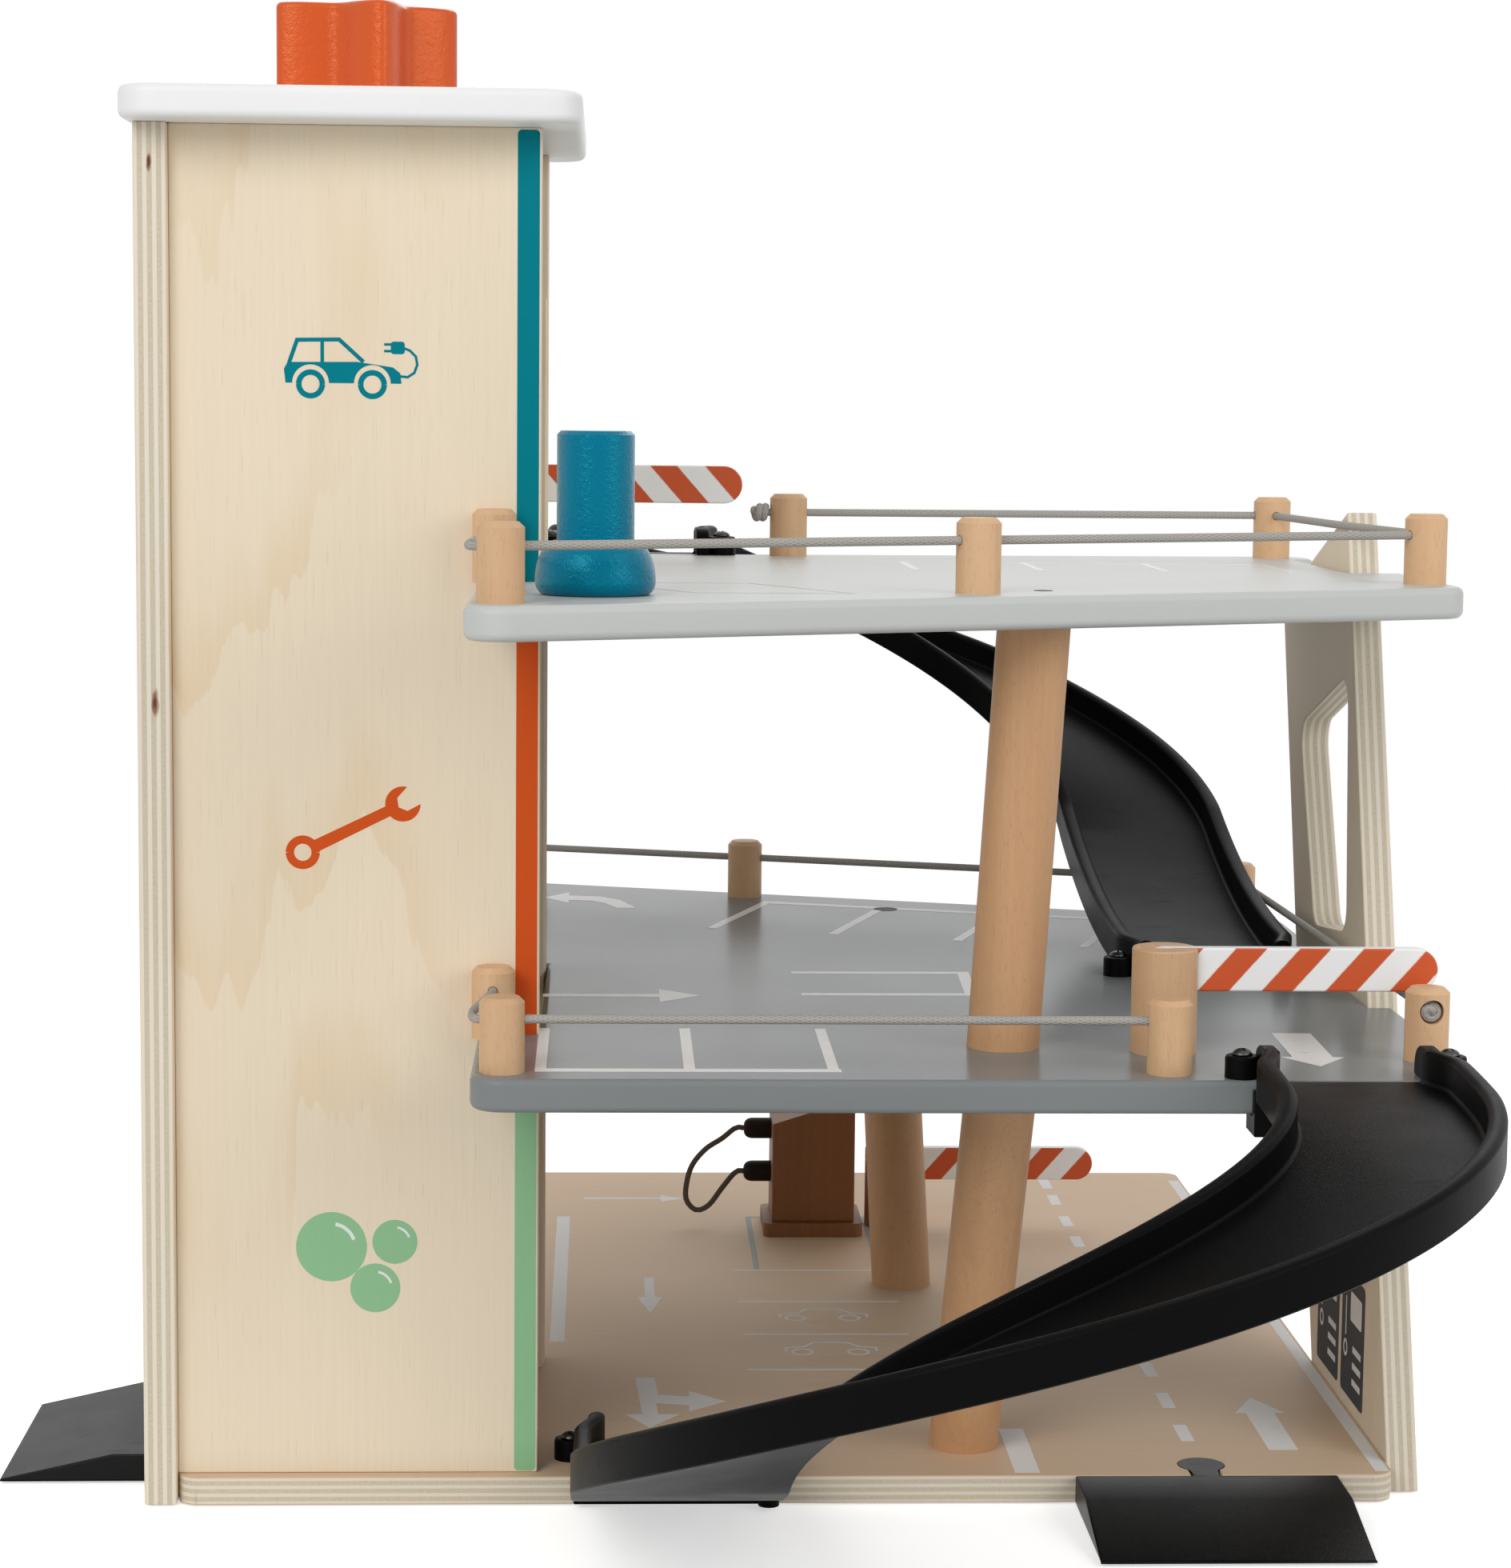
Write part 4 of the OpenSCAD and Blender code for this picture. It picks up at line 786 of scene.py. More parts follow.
class GarageStep(bpy.types.Operator):
    """One step of the garage"""
    bl_options = {"REGISTER"}

    def execute(self, context):
        self.build()
        return {"FINISHED"}


class GARAGE_OT_stage(GarageStep):
    """Camera at the photograph's place, pale floor and soft light"""
    bl_idname = "garage.stage"
    bl_label = "Stage"
    FLOOR_RADIUS, FADE_FROM, FADE_TO, FLOOR_DROP = 0.85, 0.45, 0.8, 0.0006

    def build(self):
        scene = bpy.context.scene
        scene.view_settings.view_transform = "Standard"
        lens = bpy.data.cameras.new("garage_camera")
        lens.sensor_fit, lens.sensor_height = "VERTICAL", 36
        lens.lens = 79.618
        lens.clip_start, lens.clip_end = 0.05, 30
        camera = bpy.data.objects.new("garage_camera", lens)
        right = Vector((0.99904138, -0.04246456, 0.01063427))
        up = Vector((-0.00585308, 0.11116803, 0.99378439))
        back = Vector((-0.04338281, -0.99289397, 0.11081291))
        camera.matrix_world = Matrix((right, up, back)).transposed().to_4x4()
        camera.location = (-0.05352, -1.14435, 0.31096)
        scene.collection.objects.link(camera)
        scene.camera = camera

        bm = bmesh.new()
        bmesh.ops.create_circle(bm, cap_ends=True, cap_tris=False, segments=96, radius=self.FLOOR_RADIUS)
        floor = bpy.data.objects.new("floor", to_mesh("floor", bm))
        scene.collection.objects.link(floor)
        f = Finish("pale_floor")
        x, y, _ = f.axes()
        fleck = f.noise(30)
        f.surface(f.mix(fleck * 0.2, (0.93, 0.93, 0.93), (0.9, 0.9, 0.9)), 0.9, Specular_IOR_Level=0.1,
                  Emission_Strength=0.55)
        f.tree.links.new(f.seen().socket, f.shader.inputs["Emission Color"])
        rim = (x * x + y * y).calc("SQRT").step(self.FADE_FROM, self.FADE_TO)
        clear = f.node("ShaderNodeBsdfTransparent")
        both = f.node("ShaderNodeMixShader", {0: rim, 1: Val(f, f.shader.outputs[0]), 2: clear})
        f.tree.links.new(both.socket, f.tree.nodes["Material Output"].inputs["Surface"])
        floor.data.materials.append(f.mat)
        floor.location.z = -self.FLOOR_DROP

        world = bpy.data.worlds.new("soft_daylight")
        scene.world = world
        sky = Finish("soft_daylight", world)
        level = sky.node("ShaderNodeMapRange", {"Value": sky.seen(), "To Min": 0.5, "To Max": 1.0})
        sky.shader.inputs["Color"].default_value = (1, 1, 1, 1)
        sky.tree.links.new(level.socket, sky.shader.inputs["Strength"])

        for name, place_at, aim, power, size in (
                ("key", (-0.9, -1.6, 1.1), (0.0, 0.0, 0.18), 13.5, 1.1),
                ("fill", (1.3, -1.2, 0.9), (0.0, 0.0, 0.15), 8.5, 1.2),
                ("rim", (0.3, 1.4, 1.4), (0.0, 0.0, 0.2), 6.5, 1.4)):
            lamp = bpy.data.lights.new(name, "AREA")
            lamp.shape, lamp.size, lamp.energy = "DISK", size, power
            obj = bpy.data.objects.new(name, lamp)
            obj.location = place_at
            obj.rotation_euler = (Vector(aim) - Vector(place_at)).to_track_quat("-Z", "Y").to_euler()
            scene.collection.objects.link(obj)


class GARAGE_OT_cords(GarageStep):
    """Elastic railing cords, lift cord and charging cable"""
    bl_idname = "garage.cords"
    bl_label = "Cords and cable"
    HOLE = 14

    def build(self):
        tree = cord_tree()
        rope = braid("elastic_braid", colours().cord, 8, 0.0026)

        def lead(left, front):
            """From the post at the tower round the left side of a deck's left post."""
            return [(88.5, -2.5), (88.5, -11.5), (left - 8, front + 12), (left - 8, front + 4),
                    (left - 7.4, front + 1), (left - 6.2, front), (left, front)]

        routes = {
            "rail_cord_mid_front": (MIDDLE_TOP, lead(92.3, -51) + [(269, -51)]),
            "rail_cord_mid_far": (MIDDLE_TOP, [(92, 298.454), (169, 273.442), (336, 219.196), (342.3, -31.5),
                                               (342.375, -34.499)]),
            "rail_cord_up": (UPPER_TOP, lead(93, -95.841) + [(217.5, -35.4), (352.5, 30.071), (343.1, 107),
                                                             (338.5, 188), (177.9, 173.66), (168.637, 172.833)]),
        }
        for name, (deck, spots) in routes.items():
            path = rounded_path([at(x, y, deck + self.HOLE) for x, y in spots], 0.0012, 3)
            if name != "rail_cord_mid_front":
                path = knotted(path, sizes().rail_cord)
            mesh = grow(curve_holder(name, path), tree, {
                "Radius": sizes().rail_cord / 2, "Sides": 20, "Material": rope})
            place(name + "_braid", mesh, rope, "frame", "elastic_cord", name)

        string = braid("lift_string", (0.72, 0.7, 0.66), 2, 0.003)
        x, y, z = 58.5, 78.7, 360
        route = [at(x, SHAFT_Y, z), at(x, y - 4, z), at(x, y - 1, z - 1), at(x, y, z - 4), at(x, y, 89.9)]
        mesh = grow(curve_holder("lift_cord", rounded_path(route, 0.002, 5)), tree, {
            "Radius": sizes().lift_cord / 2, "Sides": 16, "Material": string})
        piece = place("lift_cord_braid", mesh, string, "frame", "elastic_cord", "lift_cord")
        tuple(at(x, y, z))
        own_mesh(piece)

        rubber = moulded("cable_rubber", colours().cable, 0.5)
        loop = [(0, 1), (-3, 1), (-8, 0.75), (-14, 0.5), (-19, 0.1), (-21, -0.4), (-20.5, -0.72), (-17, -0.92),
                (-12.5, -0.8), (-8, -0.42), (-4, -0.1), (-2, 0), (0, 0)]
        path, run = flowing_path([at(170.5 + a, 296, 29 + 16 * b) for a, b in loop], 36)
        mesh = grow(curve_holder("charge_cable", path), tree, {
            "Radius": sizes().cable / 2, "Sides": 16, "Material": rubber})
        cable = place("charge_cable_loop", mesh, rubber, "frame", "black_plastic", "charge_cable")
        plugs = [self.plug(n) for n in ("plug_upper", "plug_lower")]
        tuple(path[0])
        [tuple(p) for p in path]

    def plug(self, node):
        """A moulded plug: a smooth barrel with a rounded end where the cable goes in."""
        low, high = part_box(node)
        mid = (low + high) / 2
        barrel = (high.y - low.y) / 2
        outline = ((0.0, 0.3), (0.005, 0.42), (0.02, 0.56), (0.05, 0.7), (0.1, 0.83), (0.16, 0.92),
                   (0.24, 0.98), (0.32, 1.0), (0.95, 1.0), (1.0, 1.0))
        rings = [[Vector((low.x + share * (high.x - low.x), y, z))
                  for y, z in circle(mid.y, mid.z, barrel * radius, 32)] for share, radius in outline]
        mesh = settled(lofted(node, rings), 50)
        return place(node + "_moulding", mesh, moulded("plug_" + node, paint_tone(46, 40, 37), 0.4),
                     "frame", "black_plastic", node)


class GARAGE_OT_plywood(GarageStep):
    """Base, tower panels, leaning wall and lift cabin in birch plywood"""
    bl_idname = "garage.plywood"
    bl_label = "Plywood boards"

    def build(self):
        def board(node, finish, body="frame", edge=sizes().ply_edge):
            eased(node, finish, edge, body, "birch_ply", steps=2, least=0.0016)

        near, far, back = TOWER_FRONT - HALF_DEPTH, FAR_PANEL - HALF_DEPTH, -HALF_LENGTH - BOARD
        knots = ((-4.6, 0, 372, 1.3), (-4.0, 0, 226, 2.0))
        boards = {
            "base_plate": plywood("base_ply", 2, 0, BASE_TOP, 0, colours().road),
            "tower_panel_near": plywood("near_ply", 1, near, BOARD, 2),
            "tower_panel_far": plywood("far_ply", 1, far, BOARD, 2),
            "tower_panel_back": plywood("back_ply", 0, back, BOARD, 2, knots=knots),
            "leaning_wall": plywood("wall_ply", 0, WALL_FACE - HALF_LENGTH, BOARD, 2),
        }
        for node, finish in boards.items():
            board(node, finish)
        side = plywood("cabin_ply", 1, 13.6 - HALF_DEPTH, 99.8, 2)
        floor = plywood("cabin_floor_ply", 2, 8.3, 3, 0)
        top = plywood("cabin_top_ply", 2, 76.3, 6, 0)
        cabin = {"lift_side_near": side, "lift_side_far": side, "lift_floor": floor, "lift_top": top}
        for node, finish in cabin.items():
            board(node, finish, "lift")
        for node in ("guide_strip_near", "guide_strip_far", "cord_guide_bar"):
            board(node, side, edge=sizes().fine_edge)
        finish_node("winding_drum", beech("drum_beech", colours().beech, colours().beech_ray))


class GARAGE_OT_painted(GarageStep):
    """Roof, middle deck and upper deck in sprayed paint"""
    bl_idname = "garage.painted"
    bl_label = "Painted boards"

    def build(self):
        c, edge = colours(), sizes().paint_edge
        roof = painted("roof_white", c.white, rough=0.36, peel=0.08)
        middle = painted("middle_grey", c.middle, rough=0.16, peel=0.1, grain=0.3, shine=0.12)
        upper = painted("upper_grey", c.upper, rough=0.3, grain=0.3, shine=0.14)
        for node, finish, rounding, slot in (
                ("roof", roof, edge, "white_paint"), ("middle_deck", middle, edge * 0.8, "dark_grey_paint"),
                ("upper_deck", upper, edge, "pale_grey_paint")):
            eased(node, finish, rounding, "frame", slot, steps=4, least=0.0009)


class GARAGE_OT_knob(GarageStep):
    """Lobed winding knob with its axle and bush"""
    bl_idname = "garage.knob"
    bl_label = "Winding knob"
    LOBES, FIRST_LOBE = 5, math.radians(71)
    RADIUS, HOLLOW = 0.0275, 0.0095

    def build(self):
        low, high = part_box("winding_knob")
        middle = at(SHAFT_X, SHAFT_Y, 0)
        edge = sizes().knob_edge
        levels = arc(low.z + edge, edge, edge, 180, 90, 6)
        levels += [(low.z + high.z - z, inset) for z, inset in reversed(levels)]
        levels.append((high.z, edge * 4))
        turns = [math.radians(2 * k) for k in range(180)]
        hollows = [(0.5 - 0.5 * math.cos(self.LOBES * (a - self.FIRST_LOBE))) ** 0.7 for a in turns]
        rings = []
        for z, inset in levels:
            reach = [self.RADIUS - self.HOLLOW * hollow - inset for hollow in hollows]
            rings.append([Vector((middle.x + r * math.cos(a), middle.y + r * math.sin(a), z))
                          for r, a in zip(reach, turns)])
        finish = painted("knob_orange", colours().orange, rough=0.18, peel=0.9, wear=0.16, wrinkle=600,
                         shine=0.6, tint=(1, 0.5, 0.28))
        place("winding_knob_turned", settled(lofted("winding_knob", rings), 55), finish, "knob", "orange_paint",
              "winding_knob")
        metal = steel()
        for node in ("winding_axle", "roof_bush", "lift_eye", "barrier_pins"):
            finish_node(node, metal)


class GARAGE_OT_beech(GarageStep):
    """Columns, railing posts and barrier posts in beech"""
    bl_idname = "garage.beech"
    bl_label = "Beech turnings"

    def build(self):
        c = colours()
        tones = [beech("beech_%d" % k, shade(c.beech, lift), c.beech_ray) for k, lift in
                 enumerate((1.0, 0.93, 1.05))]
        for k, node in enumerate(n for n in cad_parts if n.startswith("post_")):
            finish_node(node, tones[k % len(tones)])
        brown = beech("column_beech", c.column, shade(c.beech_ray, 0.85))
        for node in (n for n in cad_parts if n.startswith("column_")):
            finish_node(node, brown)
        for node in ("barrier_post_low", "barrier_post_mid", "barrier_post_up"):
            low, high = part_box(node)
            middle, radius = (low + high).xy / 2, (high.x - low.x) / 2

            def on_top_rim(e):
                return all(v.co.z > high.z - 1e-5 and abs((v.co.xy - middle).length - radius) < 5e-5
                           for v in e.verts)

            eased(node, tones[1], sizes().post_rim, "frame", "beech", least=0.0003, pick=on_top_rim)


class GARAGE_OT_barriers(GarageStep):
    """Striped barrier arms"""
    bl_idname = "garage.barriers"
    bl_label = "Barrier arms"

    def build(self):
        slant = 0.88
        for name, pivot, lean, shift in (("low", at(224.6, 301, 31), slant, 0.0067),
                                         ("mid", at(272.2, -20.5, 157), slant, 0.0051),
                                         ("up", at(87.5, 165.1, 283), -slant, 0.0065)):
            node = "barrier_arm_" + name
            low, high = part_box(node)
            finish = striped("arm_stripes_" + name, pivot, lean, shift, (high.y - low.y) / 2)
            eased(node, finish, sizes().small_edge, "arm_" + name, "white_paint", least=0.0004)


class GARAGE_OT_ramps(GarageStep):
    """Curved ramps and wedges in moulded plastic"""
    bl_idname = "garage.ramps"
    bl_label = "Ramps and wedges"
    RUN_IN, BEND, RUN_OUT, STEP = 39, 88, 125, 2.4
    FALL, EASE_TOP, EASE_FOOT = 123.2, 0.55, 0.32
    WIDTH, FLARE, FLARE_RUN = 47.5, 8, 16
    THICK, RAIL, RAIL_HIGH = 2.5, 4.8, 9

    def build(self):
        plastic = moulded("ramp_plastic", colours().plastic)
        for node, head, turn in (("ramp_low", (315, -62.6, MIDDLE_TOP), -90),
                                 ("ramp_up", (128.5, 180.5, UPPER_TOP), 92)):
            stand = self.stand(head, turn, "Z")
            bm = bmesh.new()
            self.trough(bm, stand)
            for side in (-1, 1):
                self.end(bm, stand, side)
            if node == "ramp_low":
                self.apron(bm)
            place(node + "_moulding", settled(to_mesh(node, bm)), plastic, "frame", "black_plastic", node,
                  node + "_rails")
        satin = moulded("wedge_black", colours().plastic, 0.3, 0.14)
        for node, body in (("wedge_front", "wedge"), ("wedge_left", "frame")):
            eased(node, satin, sizes().small_edge, body, "black_plastic")

    def stand(self, spot, turn, axis):
        """From millimetres along, across and up a ramp to its place on the plan."""
        return Matrix.Translation(at(*spot)) @ Matrix.Rotation(math.radians(turn), 4, axis) @ Matrix.Scale(MM, 4)

    def course(self):
        """Stations along the ramp's middle line, a half turn between two straights: place, turn and run."""
        half_turn = math.pi * self.BEND
        whole = self.RUN_IN + half_turn + self.RUN_OUT
        count = round(whole / self.STEP)
        stations = []
        for k in range(count + 1):
            run = whole * k / count
            turn = math.pi * min(1.0, max(0.0, (run - self.RUN_IN) / half_turn))
            spot = Vector((min(run, self.RUN_IN), 0)) + self.BEND * Vector((math.sin(turn), math.cos(turn) - 1))
            stations.append((spot - Vector((max(0.0, run - self.RUN_IN - half_turn), 0)), turn, run))
        return stations

    def section(self, half):
        """Half a trough's outline from the middle of the floor to the middle of the underside, edges rounded."""
        high, wall, top, foot, edge = self.RAIL_HIGH, half - self.RAIL, 1.6, 1.2, 0.4
        points = [(0, 0), (wall * 0.5, 0), (wall - foot, 0), *arc(wall - foot, foot, foot, -90, 90, 4)[1:]]
        for a, b in arc(0, 0, 1, 0, 180, 8):
            points.append((half - self.RAIL / 2 * (1 + a), high - top + top * b))
        return points + [(half, edge - self.THICK), (half - edge, -self.THICK), (half * 0.5, -self.THICK),
                         (0, -self.THICK)]

    def trough(self, bm, stand):
        rings = []
        stations = self.course()
        whole = stations[-1][2]
        for spot, turn, run in stations:
            share = run / whole
            steep = 1 / (1 - self.EASE_TOP / 2 - self.EASE_FOOT / 2)
            fall = (steep * share * share / (2 * self.EASE_TOP) if share < self.EASE_TOP
                    else 1 - steep * (1 - share) ** 2 / (2 * self.EASE_FOOT) if share > 1 - self.EASE_FOOT
                    else steep * (share - self.EASE_TOP / 2))
            widen = min(1.0, run / self.FLARE_RUN, (whole - run) / self.FLARE_RUN)
            half = self.WIDTH / 2 + self.FLARE / 2 * widen * widen * (3 - 2 * widen)
            way = Vector((-math.sin(turn), -math.cos(turn)))
            right = self.section(half)
            ring = right + [(-a, b) for a, b in reversed(right[1:-1])]
            rings.append([stand @ Vector((*(spot + way * a), b - self.FALL * fall)) for a, b in ring])
        skin(bm, rings, inward=True)

    def end(self, bm, stand, side):
        """What holds one side of the ramp: rail end on the deck, clip below it, and a screw lug at each end."""
        rail = side * (self.WIDTH - self.RAIL) / 2
        rail_end = [(3, 0), (3, 8.7), *arc(-5, 2.7, 6, 90, 90, 6), (-11, 0)]
        clip = [(0.2, -2), (0.2, -9.1), (-8, -9.1), (-8, -14.1), (4, -14.1), (4, -2)]
        self.slab(bm, stand, rail_end, rail - 2.1, rail + 2.1, 0.7)
        self.slab(bm, stand, clip, rail - 4.5, rail + 4.5, 0.4)
        foot = self.course()[-1][0]
        for a, b, level in ((-6, side * 27.65, 0), (foot.x + 6, foot.y + side * 28.92, -126)):
            skin(bm, [[stand @ Vector((*q, level + z)) for q in circle(a, b, r, 32)]
                      for r, z in ((4.5, 0), (4.5, 5.2), (4.27, 5.77), (3.7, 6), (2.4, 6))])

    def apron(self, bm):
        """The lower ramp's apron with its rounded lip, against the base's front edge."""
        stand = self.stand((139, 0, 0), 90, "X")
        low, high = 0.8, 10.4
        self.slab(bm, stand, [(-27.7, 0.1), (27.2, 0.1), (27.2, 3.1), (-27.7, 3.1)], low, high, 0.4)
        self.slab(bm, stand, circle(27.25, 3.6, 3, 24), low, high, 0.0)

    def slab(self, bm, stand, outline, b0, b1, edge):
        """A flat outline along the ramp, carried from one side to the other, its edges rounded."""
        part = bmesh.new()
        skin(part, [[stand @ Vector((a, b, z)) for a, z in outline] for b in (b0, b1)], inward=True)
        bmesh.ops.recalc_face_normals(part, faces=part.faces)
        if edge:
            sharp = [e for e in part.edges if e.calc_face_angle(0) > math.radians(30)]
            bmesh.ops.bevel(part, geom=sharp, offset=edge * MM, segments=3, profile=0.5, affect="EDGES",
                            clamp_overlap=True)
        mesh = to_mesh("part", part)
        bm.from_mesh(mesh)
        bpy.data.meshes.remove(mesh)


class GARAGE_OT_fittings(GarageStep):
    """Bollard and charging station"""
    bl_idname = "garage.fittings"
    bl_label = "Bollard and charger"

    def build(self):
        c = colours()
        finish_node("bollard", painted("bollard_blue", c.blue, rough=0.16, peel=0.9, wear=0.12, wrinkle=900,
                                        shine=0.6, tint=(0.1, 0.75, 0.9)))
        wood = beech("charger_beech", c.stained, shade(c.stained, 0.5))
        eased("charger_body", wood, sizes().small_edge, "frame", "beech")
        eased("charger_plinth", wood, sizes().fine_edge, "frame", "beech", steps=2)


class GARAGE_OT_screws(GarageStep):
    """Cross-recessed screws in boards and ramp lugs"""
    bl_idname = "garage.screws"
    bl_label = "Screws"

    def build(self):
        tree = screw_tree()
        blackened = steel("blackened_steel", (0.09, 0.09, 0.09))
        for node in ("ramp_screws", "panel_screws"):
            spots = screw_spots(node)
            mesh = bpy.data.meshes.new(node)
            mesh.from_pydata([s[0] for s in spots], [], [])
            ways = mesh.attributes.new("way", "FLOAT_VECTOR", "POINT")
            ways.data.foreach_set("vector", [x for s in spots for x in s[1]])
            made = grow(bpy.data.objects.new(node + "_points", mesh), tree, {
                "Head radius": 0.0027, "Head height": SCREW_HEAD, "Shank radius": 0.0014, "Reach": 0.0065,
                "Recess": 0.0007, "Material": blackened})
            smooth(made, 35)
            place(node + "_crossed", made, blackened, "frame", "steel", node)


class GARAGE_OT_prints(GarageStep):
    """Storey strips, pictograms and road markings"""
    bl_idname = "garage.prints"
    bl_label = "Prints"
    OVER = 0.06

    def build(self):
        c = colours()
        for draw in (self.tower, self.base, self.middle, self.upper, self.wall):
            draw(c)

    def tower(self, c):
        teal = ink("teal_ink", c.teal, shade(c.teal, 1.2))
        rust = ink("orange_ink", c.rust, shade(c.rust, 1.15))
        green = ink("green_ink", c.green, shade(c.green, 1.1))
        for name, finish, low, high in (("upper", teal, 256, 382.4), ("middle", rust, 132, 250),
                                        ("ground", green, 8.6, 124)):
            strip = Print(1, TOWER_FRONT, -1)
            strip.bar(94.4, 100.4, low, high, 1.2)
            strip.lay("strip_" + name, finish, "birch_ply")

        car = Print(1, TOWER_FRONT, -1)
        axle_a, axle_b, ground = 38.2, 55.0, 313.6
        arches = [spot for axle in (axle_b, axle_a) for spot in arc(axle, ground, 5, 0, 180, 15)]
        car.shape([(31.4, ground), (31.0, 317.4), (32.0, 319.2), (51.0, 319.4), (60.6, 318.0), (62.6, 316.4),
                   (62.9, ground), *arches])
        car.line([(32.4, 319.0), (34.6, 325.2), (46.0, 325.4), (52.6, 319.4)], 1.1)
        car.line([(41.4, 325.2), (41.4, 319.0)], 1.0)
        for axle in (axle_a, axle_b):
            car.ring(axle, ground - 0.3, 3.2, 1.5)
        car.line([(62.4, 315.6), (64.6, 315.4), (66.4, 316.6), (67.2, 318.8), (66.8, 321.0), (65.2, 322.6),
                  (63.6, 323.2)], 0.7)
        car.bar(60.0, 63.8, 321.6, 325.0, 0.8)
        for z in (322.4, 324.2):
            car.line([(60.2, z), (58.2, z)], 0.7)
        car.lay("sign_charging_car", teal)

        tool = Print(1, TOWER_FRONT, -1)
        eye, jaw = Vector((35.6, 184.6)), Vector((63.2, 198.2))
        way = (jaw - eye).normalized()
        side = Vector((-way.y, way.x))
        tool.ring(eye.x, eye.y, 3.55, 2.3)
        tool.shape([tuple(eye + way * 4.2 + side * 1.7), tuple(eye + way * 4.2 - side * 1.7),
                    tuple(jaw - way * 3.4 - side * 1.5), tuple(jaw - way * 3.4 + side * 1.5)])
        tilt, open_half = math.atan2(way.y, way.x) + math.radians(12), 38
        mouth = Vector((math.cos(tilt), math.sin(tilt)))
        cross = Vector((-mouth.y, mouth.x))
        fork = arc(jaw.x, jaw.y, 4.9, math.degrees(tilt) + open_half, 360 - 2 * open_half, 24)
        tool.shape(fork + [tuple(jaw - mouth * 0.2 - cross * 2.3), tuple(jaw - mouth * 1.5),
                           tuple(jaw - mouth * 0.2 + cross * 2.3)])
        tool.lay("sign_spanner", rust)

        foam = Print(1, TOWER_FRONT, -1)
        shine = Print(1, TOWER_FRONT - self.OVER, -1)
        for x, z, r in ((43.2, 73.2, 9.9), (60.9, 74.6, 6.3), (55.4, 61.4, 7.0)):
            foam.disc(x, z, r)
            shine.ring(x, z, r * 0.66, r * 0.1, 18, 62)
        foam.lay("sign_bubbles", green)
        shine.lay("sign_bubble_shine", ink("pale_ink", (0.8, 0.87, 0.78), (0.7, 0.8, 0.68)))

    def base(self, c):
        white = ink("road_white", c.marking, c.road)
        road = Print(2, BASE_TOP, 1)
        road.bar(102.2, 107, 140, 312)
        road.arrow((112, 341), (150, 341), 2.6, 9, 11)
        road.arrow((135.2, 222), (135.2, 175), 3.4, 21, 8.4)
        road.shape([(129.4, 99), (135.4, 99), (136.4, 80.4), (145.6, 78.4), (145.8, 84.4), (156.8, 73.2),
                    (145.4, 63), (145.5, 69.4), (135.6, 71.4), (136, 60), (142.6, 60), (133.2, 46.5),
                    (126.2, 60), (131.2, 60)])
        for y in (107.8, 148.9, 190, 232):
            road.bar(165, 219, y - 0.7, y + 0.7)
        body = [(-14, 1), (-14, 5), (-8, 6), (-5, 11), (6, 11), (10, 6), (15, 5), (15, 1)]
        x = 192
        for y in (128, 169):
            for wheel in (-9, 9):
                road.ring(x + wheel, y, 3.2, 1.0)
            road.line([(x + a, y + b) for a, b in body], 1.0)
        for y in (40, 73.5, 107, 240, 273.5, 304.5, 339, 366):
            road.bar(289, 293, y - 8, y + 8)
        road.bar(236.6, 243.8, 2.5, 44.5)
        road.arrow((317.6, 23.4), (317.6, 76), 8.6, 16, 15)
        road.bar(340, 344, 3, 372)
        road.lay("road_markings_base", white)
        pad = Print(2, BASE_TOP, 1)
        for a0, a1, b0, b1 in ((172, 174, 234, 312), (215, 217, 234, 312), (172, 217, 310, 312)):
            pad.bar(a0, a1, b0, b1)
        pad.lay("charging_bay_lines", ink("bay_blue", paint_tone(176, 184, 176), c.road))

    def middle(self, c):
        white = ink("deck_white", c.marking, c.middle, wood=False, shine=0.12)
        road = Print(2, MIDDLE_TOP, 1)
        road.bar(101, 182, -51, -47)
        for x in (102.4, 141.8, 180):
            road.bar(x - 1.5, x + 1.5, -50, 12)
        road.line([(177, 108.2), (230.4, 108.6), (228.8, 69.4), (178, 69)], 3.6)
        road.arrow((101, 66), (147.5, 66), 5, 12, 22)
        road.shape([(97.8, 267.6), (106.6, 281), (106.4, 272.6), (117.4, 270.4), (124.6, 262), (130, 243),
                    (123.4, 243), (119.4, 254.4), (114.6, 260), (106.4, 261.6), (106.6, 254.4)])
        for x, y in ((176, 258), (216, 246), (256, 233), (296, 220)):
            road.line([(x, y), (x - 21, y - 60)], 3.2)
        road.line([(174.6, 258.4), (297.6, 219.6)], 5)
        road.arrow((313, 7), (311.6, -41.5), 11, 13, 17)
        road.lay("road_markings_middle", white, "dark_grey_paint")
        self.recess("column_recess_middle", (217, 243), MIDDLE_TOP, 4.2)

    def upper(self, c):
        white = ink("upper_white", paint_tone(224, 227, 226), c.upper, wood=False, shine=0.14)
        road = Print(2, UPPER_TOP, 1)
        for x in (174, 212, 250, 288, 326):
            road.bar(x - 1.2, x + 1.2, 90, 140)
        road.bar(174, 327, 138, 140.4)
        road.lay("road_markings_upper", white, "pale_grey_paint")
        bays = Print(2, UPPER_TOP, 1)
        bays.line([(142.5, -45.3), (184.1, -42.1), (158.5, 4.1), (116.9, 0.9), (142.5, -45.3)], 1.4)
        self.recess("column_recess_upper", (236.7, -20.9), UPPER_TOP, 2.6)
        bays.lay("bay_lines_upper", ink("bay_teal", paint_tone(160, 186, 194), c.upper, wood=False, shine=0.14),
                 "pale_grey_paint")

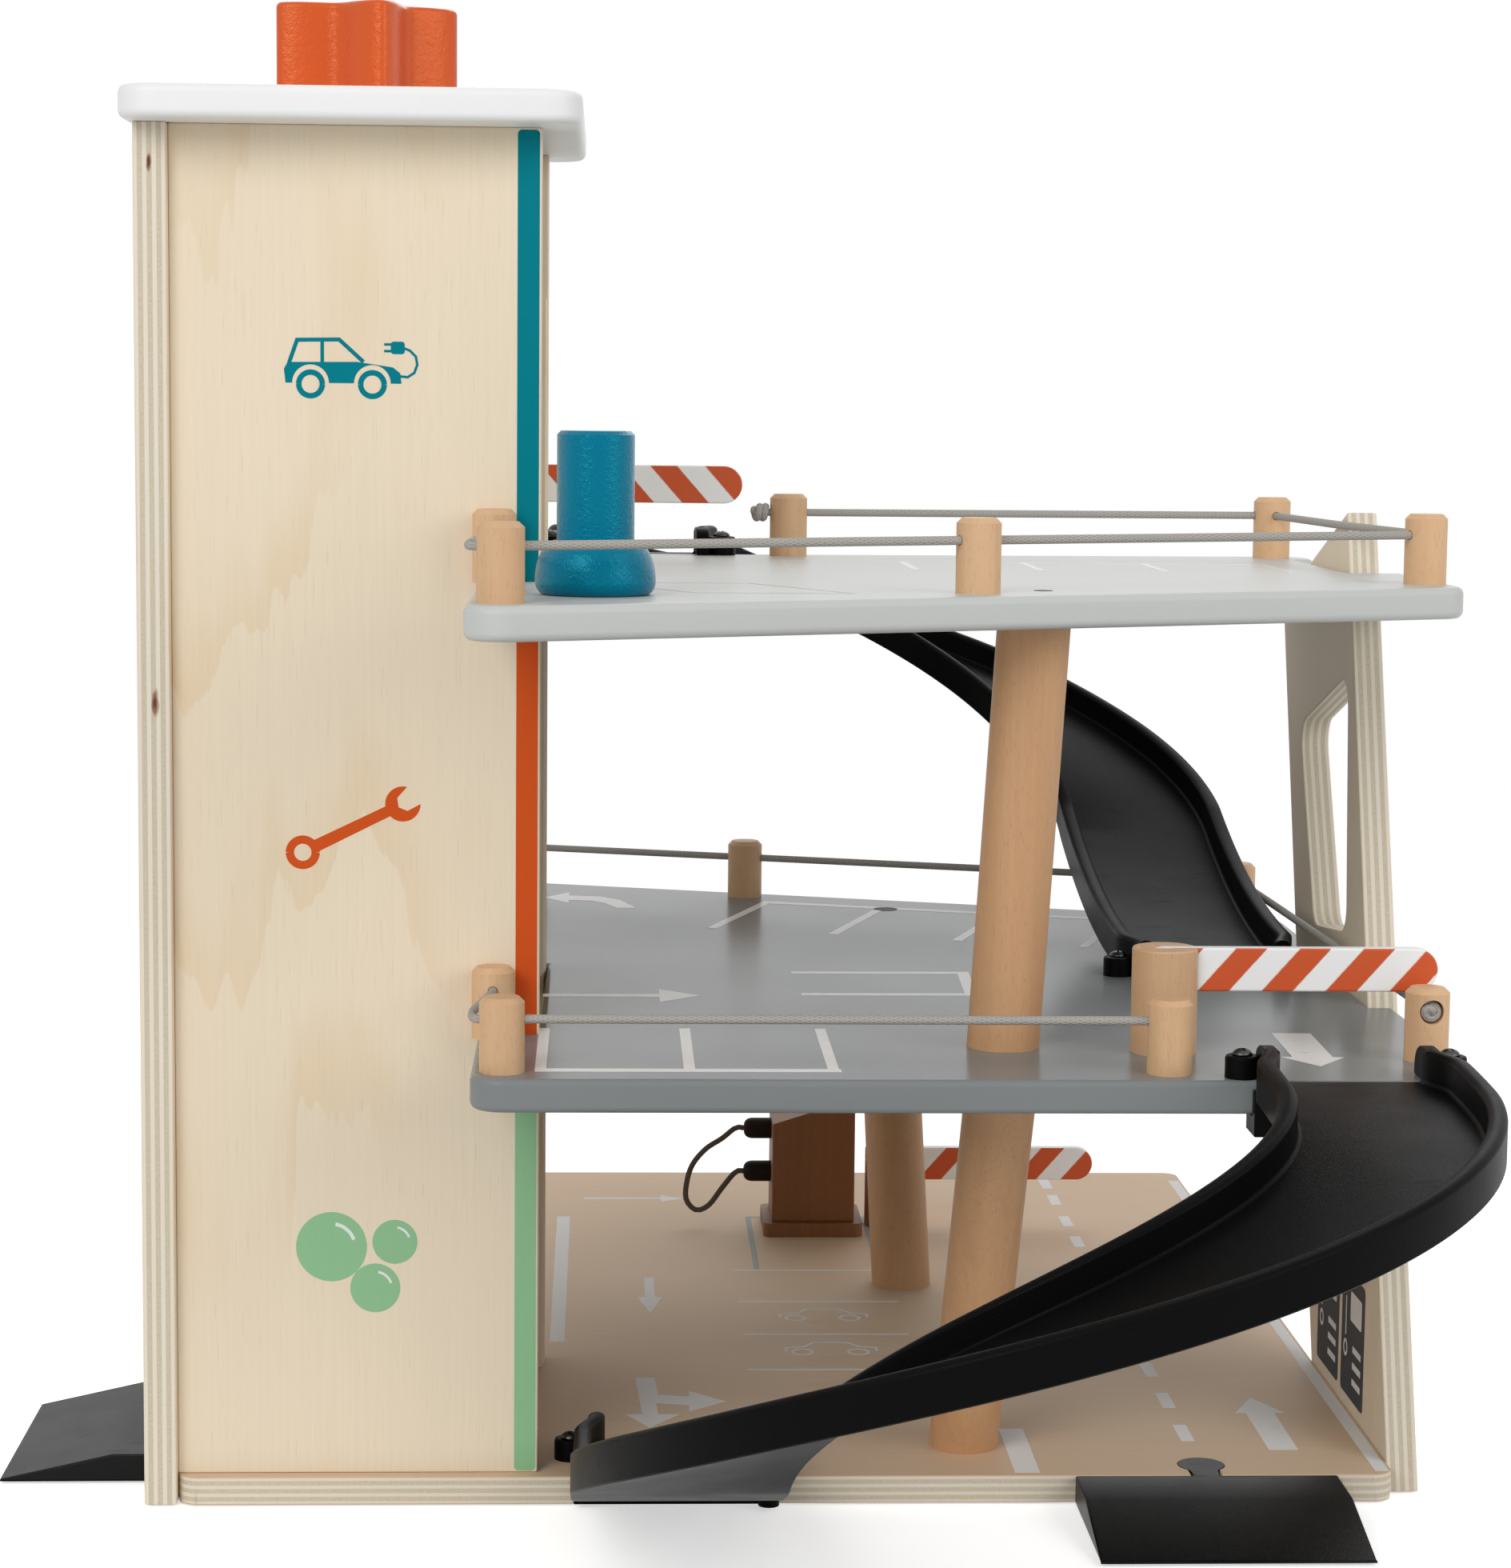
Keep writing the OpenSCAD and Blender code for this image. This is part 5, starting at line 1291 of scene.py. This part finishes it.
    def recess(self, name, spot, level, radius):
        """Painted shade: a flat black disc round the screw that holds a column from above, standing for the
        shaded hollow of its recess.
        """
        # painted shade: a black disc laid flat on the deck where the recess round the column's screw lies in
        # shade
        rim = Print(2, level + self.OVER / 2, 1)
        rim.disc(*spot, radius)
        rim.lay(name, moulded(name, colours().plastic), "black_plastic")

    def wall(self, c):
        dark = ink("pump_panel_ink", c.sign, shade(c.sign, 1.2))
        panel = Print(0, WALL_FACE, -1)
        for y in (44, 79):
            panel.bar(y, y + 31, 12, 50, 2)
        panel.lay("pump_panels", dark)
        detail = Print(0, WALL_FACE - self.OVER, -1)
        for y in (44, 79):
            detail.bar(y + 4, y + 19, 36, 45, 1)
            for k in range(3):
                detail.bar(y + 4, y + 15, 17 + 5 * k, 19 + 5 * k)
            detail.ring(y + 25, 26, 2.2, 1.0)
            detail.line([(y + 25, 30), (y + 25, 42)], 1.0)
        detail.lay("pump_panel_lines", ink("pump_panel_white", c.marking, c.sign))


class GARAGE_PT_panel(bpy.types.Panel):
    """Steps and sizes of the toy parking garage"""
    bl_label = "Toy parking garage"
    bl_space_type = "VIEW_3D"
    bl_region_type = "UI"
    bl_category = "Garage"

    def draw(self, context):
        for step in STEPS:
            self.layout.operator(step.bl_idname)
        for group in (context.scene.garage_sizes, context.scene.garage_colours):
            box = self.layout.box()
            for name in group.__annotations__:
                box.prop(group, name)


STEPS = (GARAGE_OT_stage, GARAGE_OT_cords, GARAGE_OT_plywood, GARAGE_OT_painted, GARAGE_OT_knob, GARAGE_OT_beech,
         GARAGE_OT_barriers, GARAGE_OT_ramps, GARAGE_OT_fittings, GARAGE_OT_screws, GARAGE_OT_prints)
CLASSES = (GarageSizes, GarageColours, *STEPS, GARAGE_PT_panel)


def register():
    for cls in CLASSES:
        bpy.utils.register_class(cls)
    bpy.types.Scene.garage_sizes = bpy.props.PointerProperty(type=GarageSizes)
    bpy.types.Scene.garage_colours = bpy.props.PointerProperty(type=GarageColours)


def unregister():
    del bpy.types.Scene.garage_sizes
    del bpy.types.Scene.garage_colours
    for cls in reversed(CLASSES):
        bpy.utils.unregister_class(cls)


def main():
    register()
    for step in STEPS:
        group, name = step.bl_idname.split(".")
        getattr(getattr(bpy.ops, group), name)()


if __name__ == "__main__":
    main()
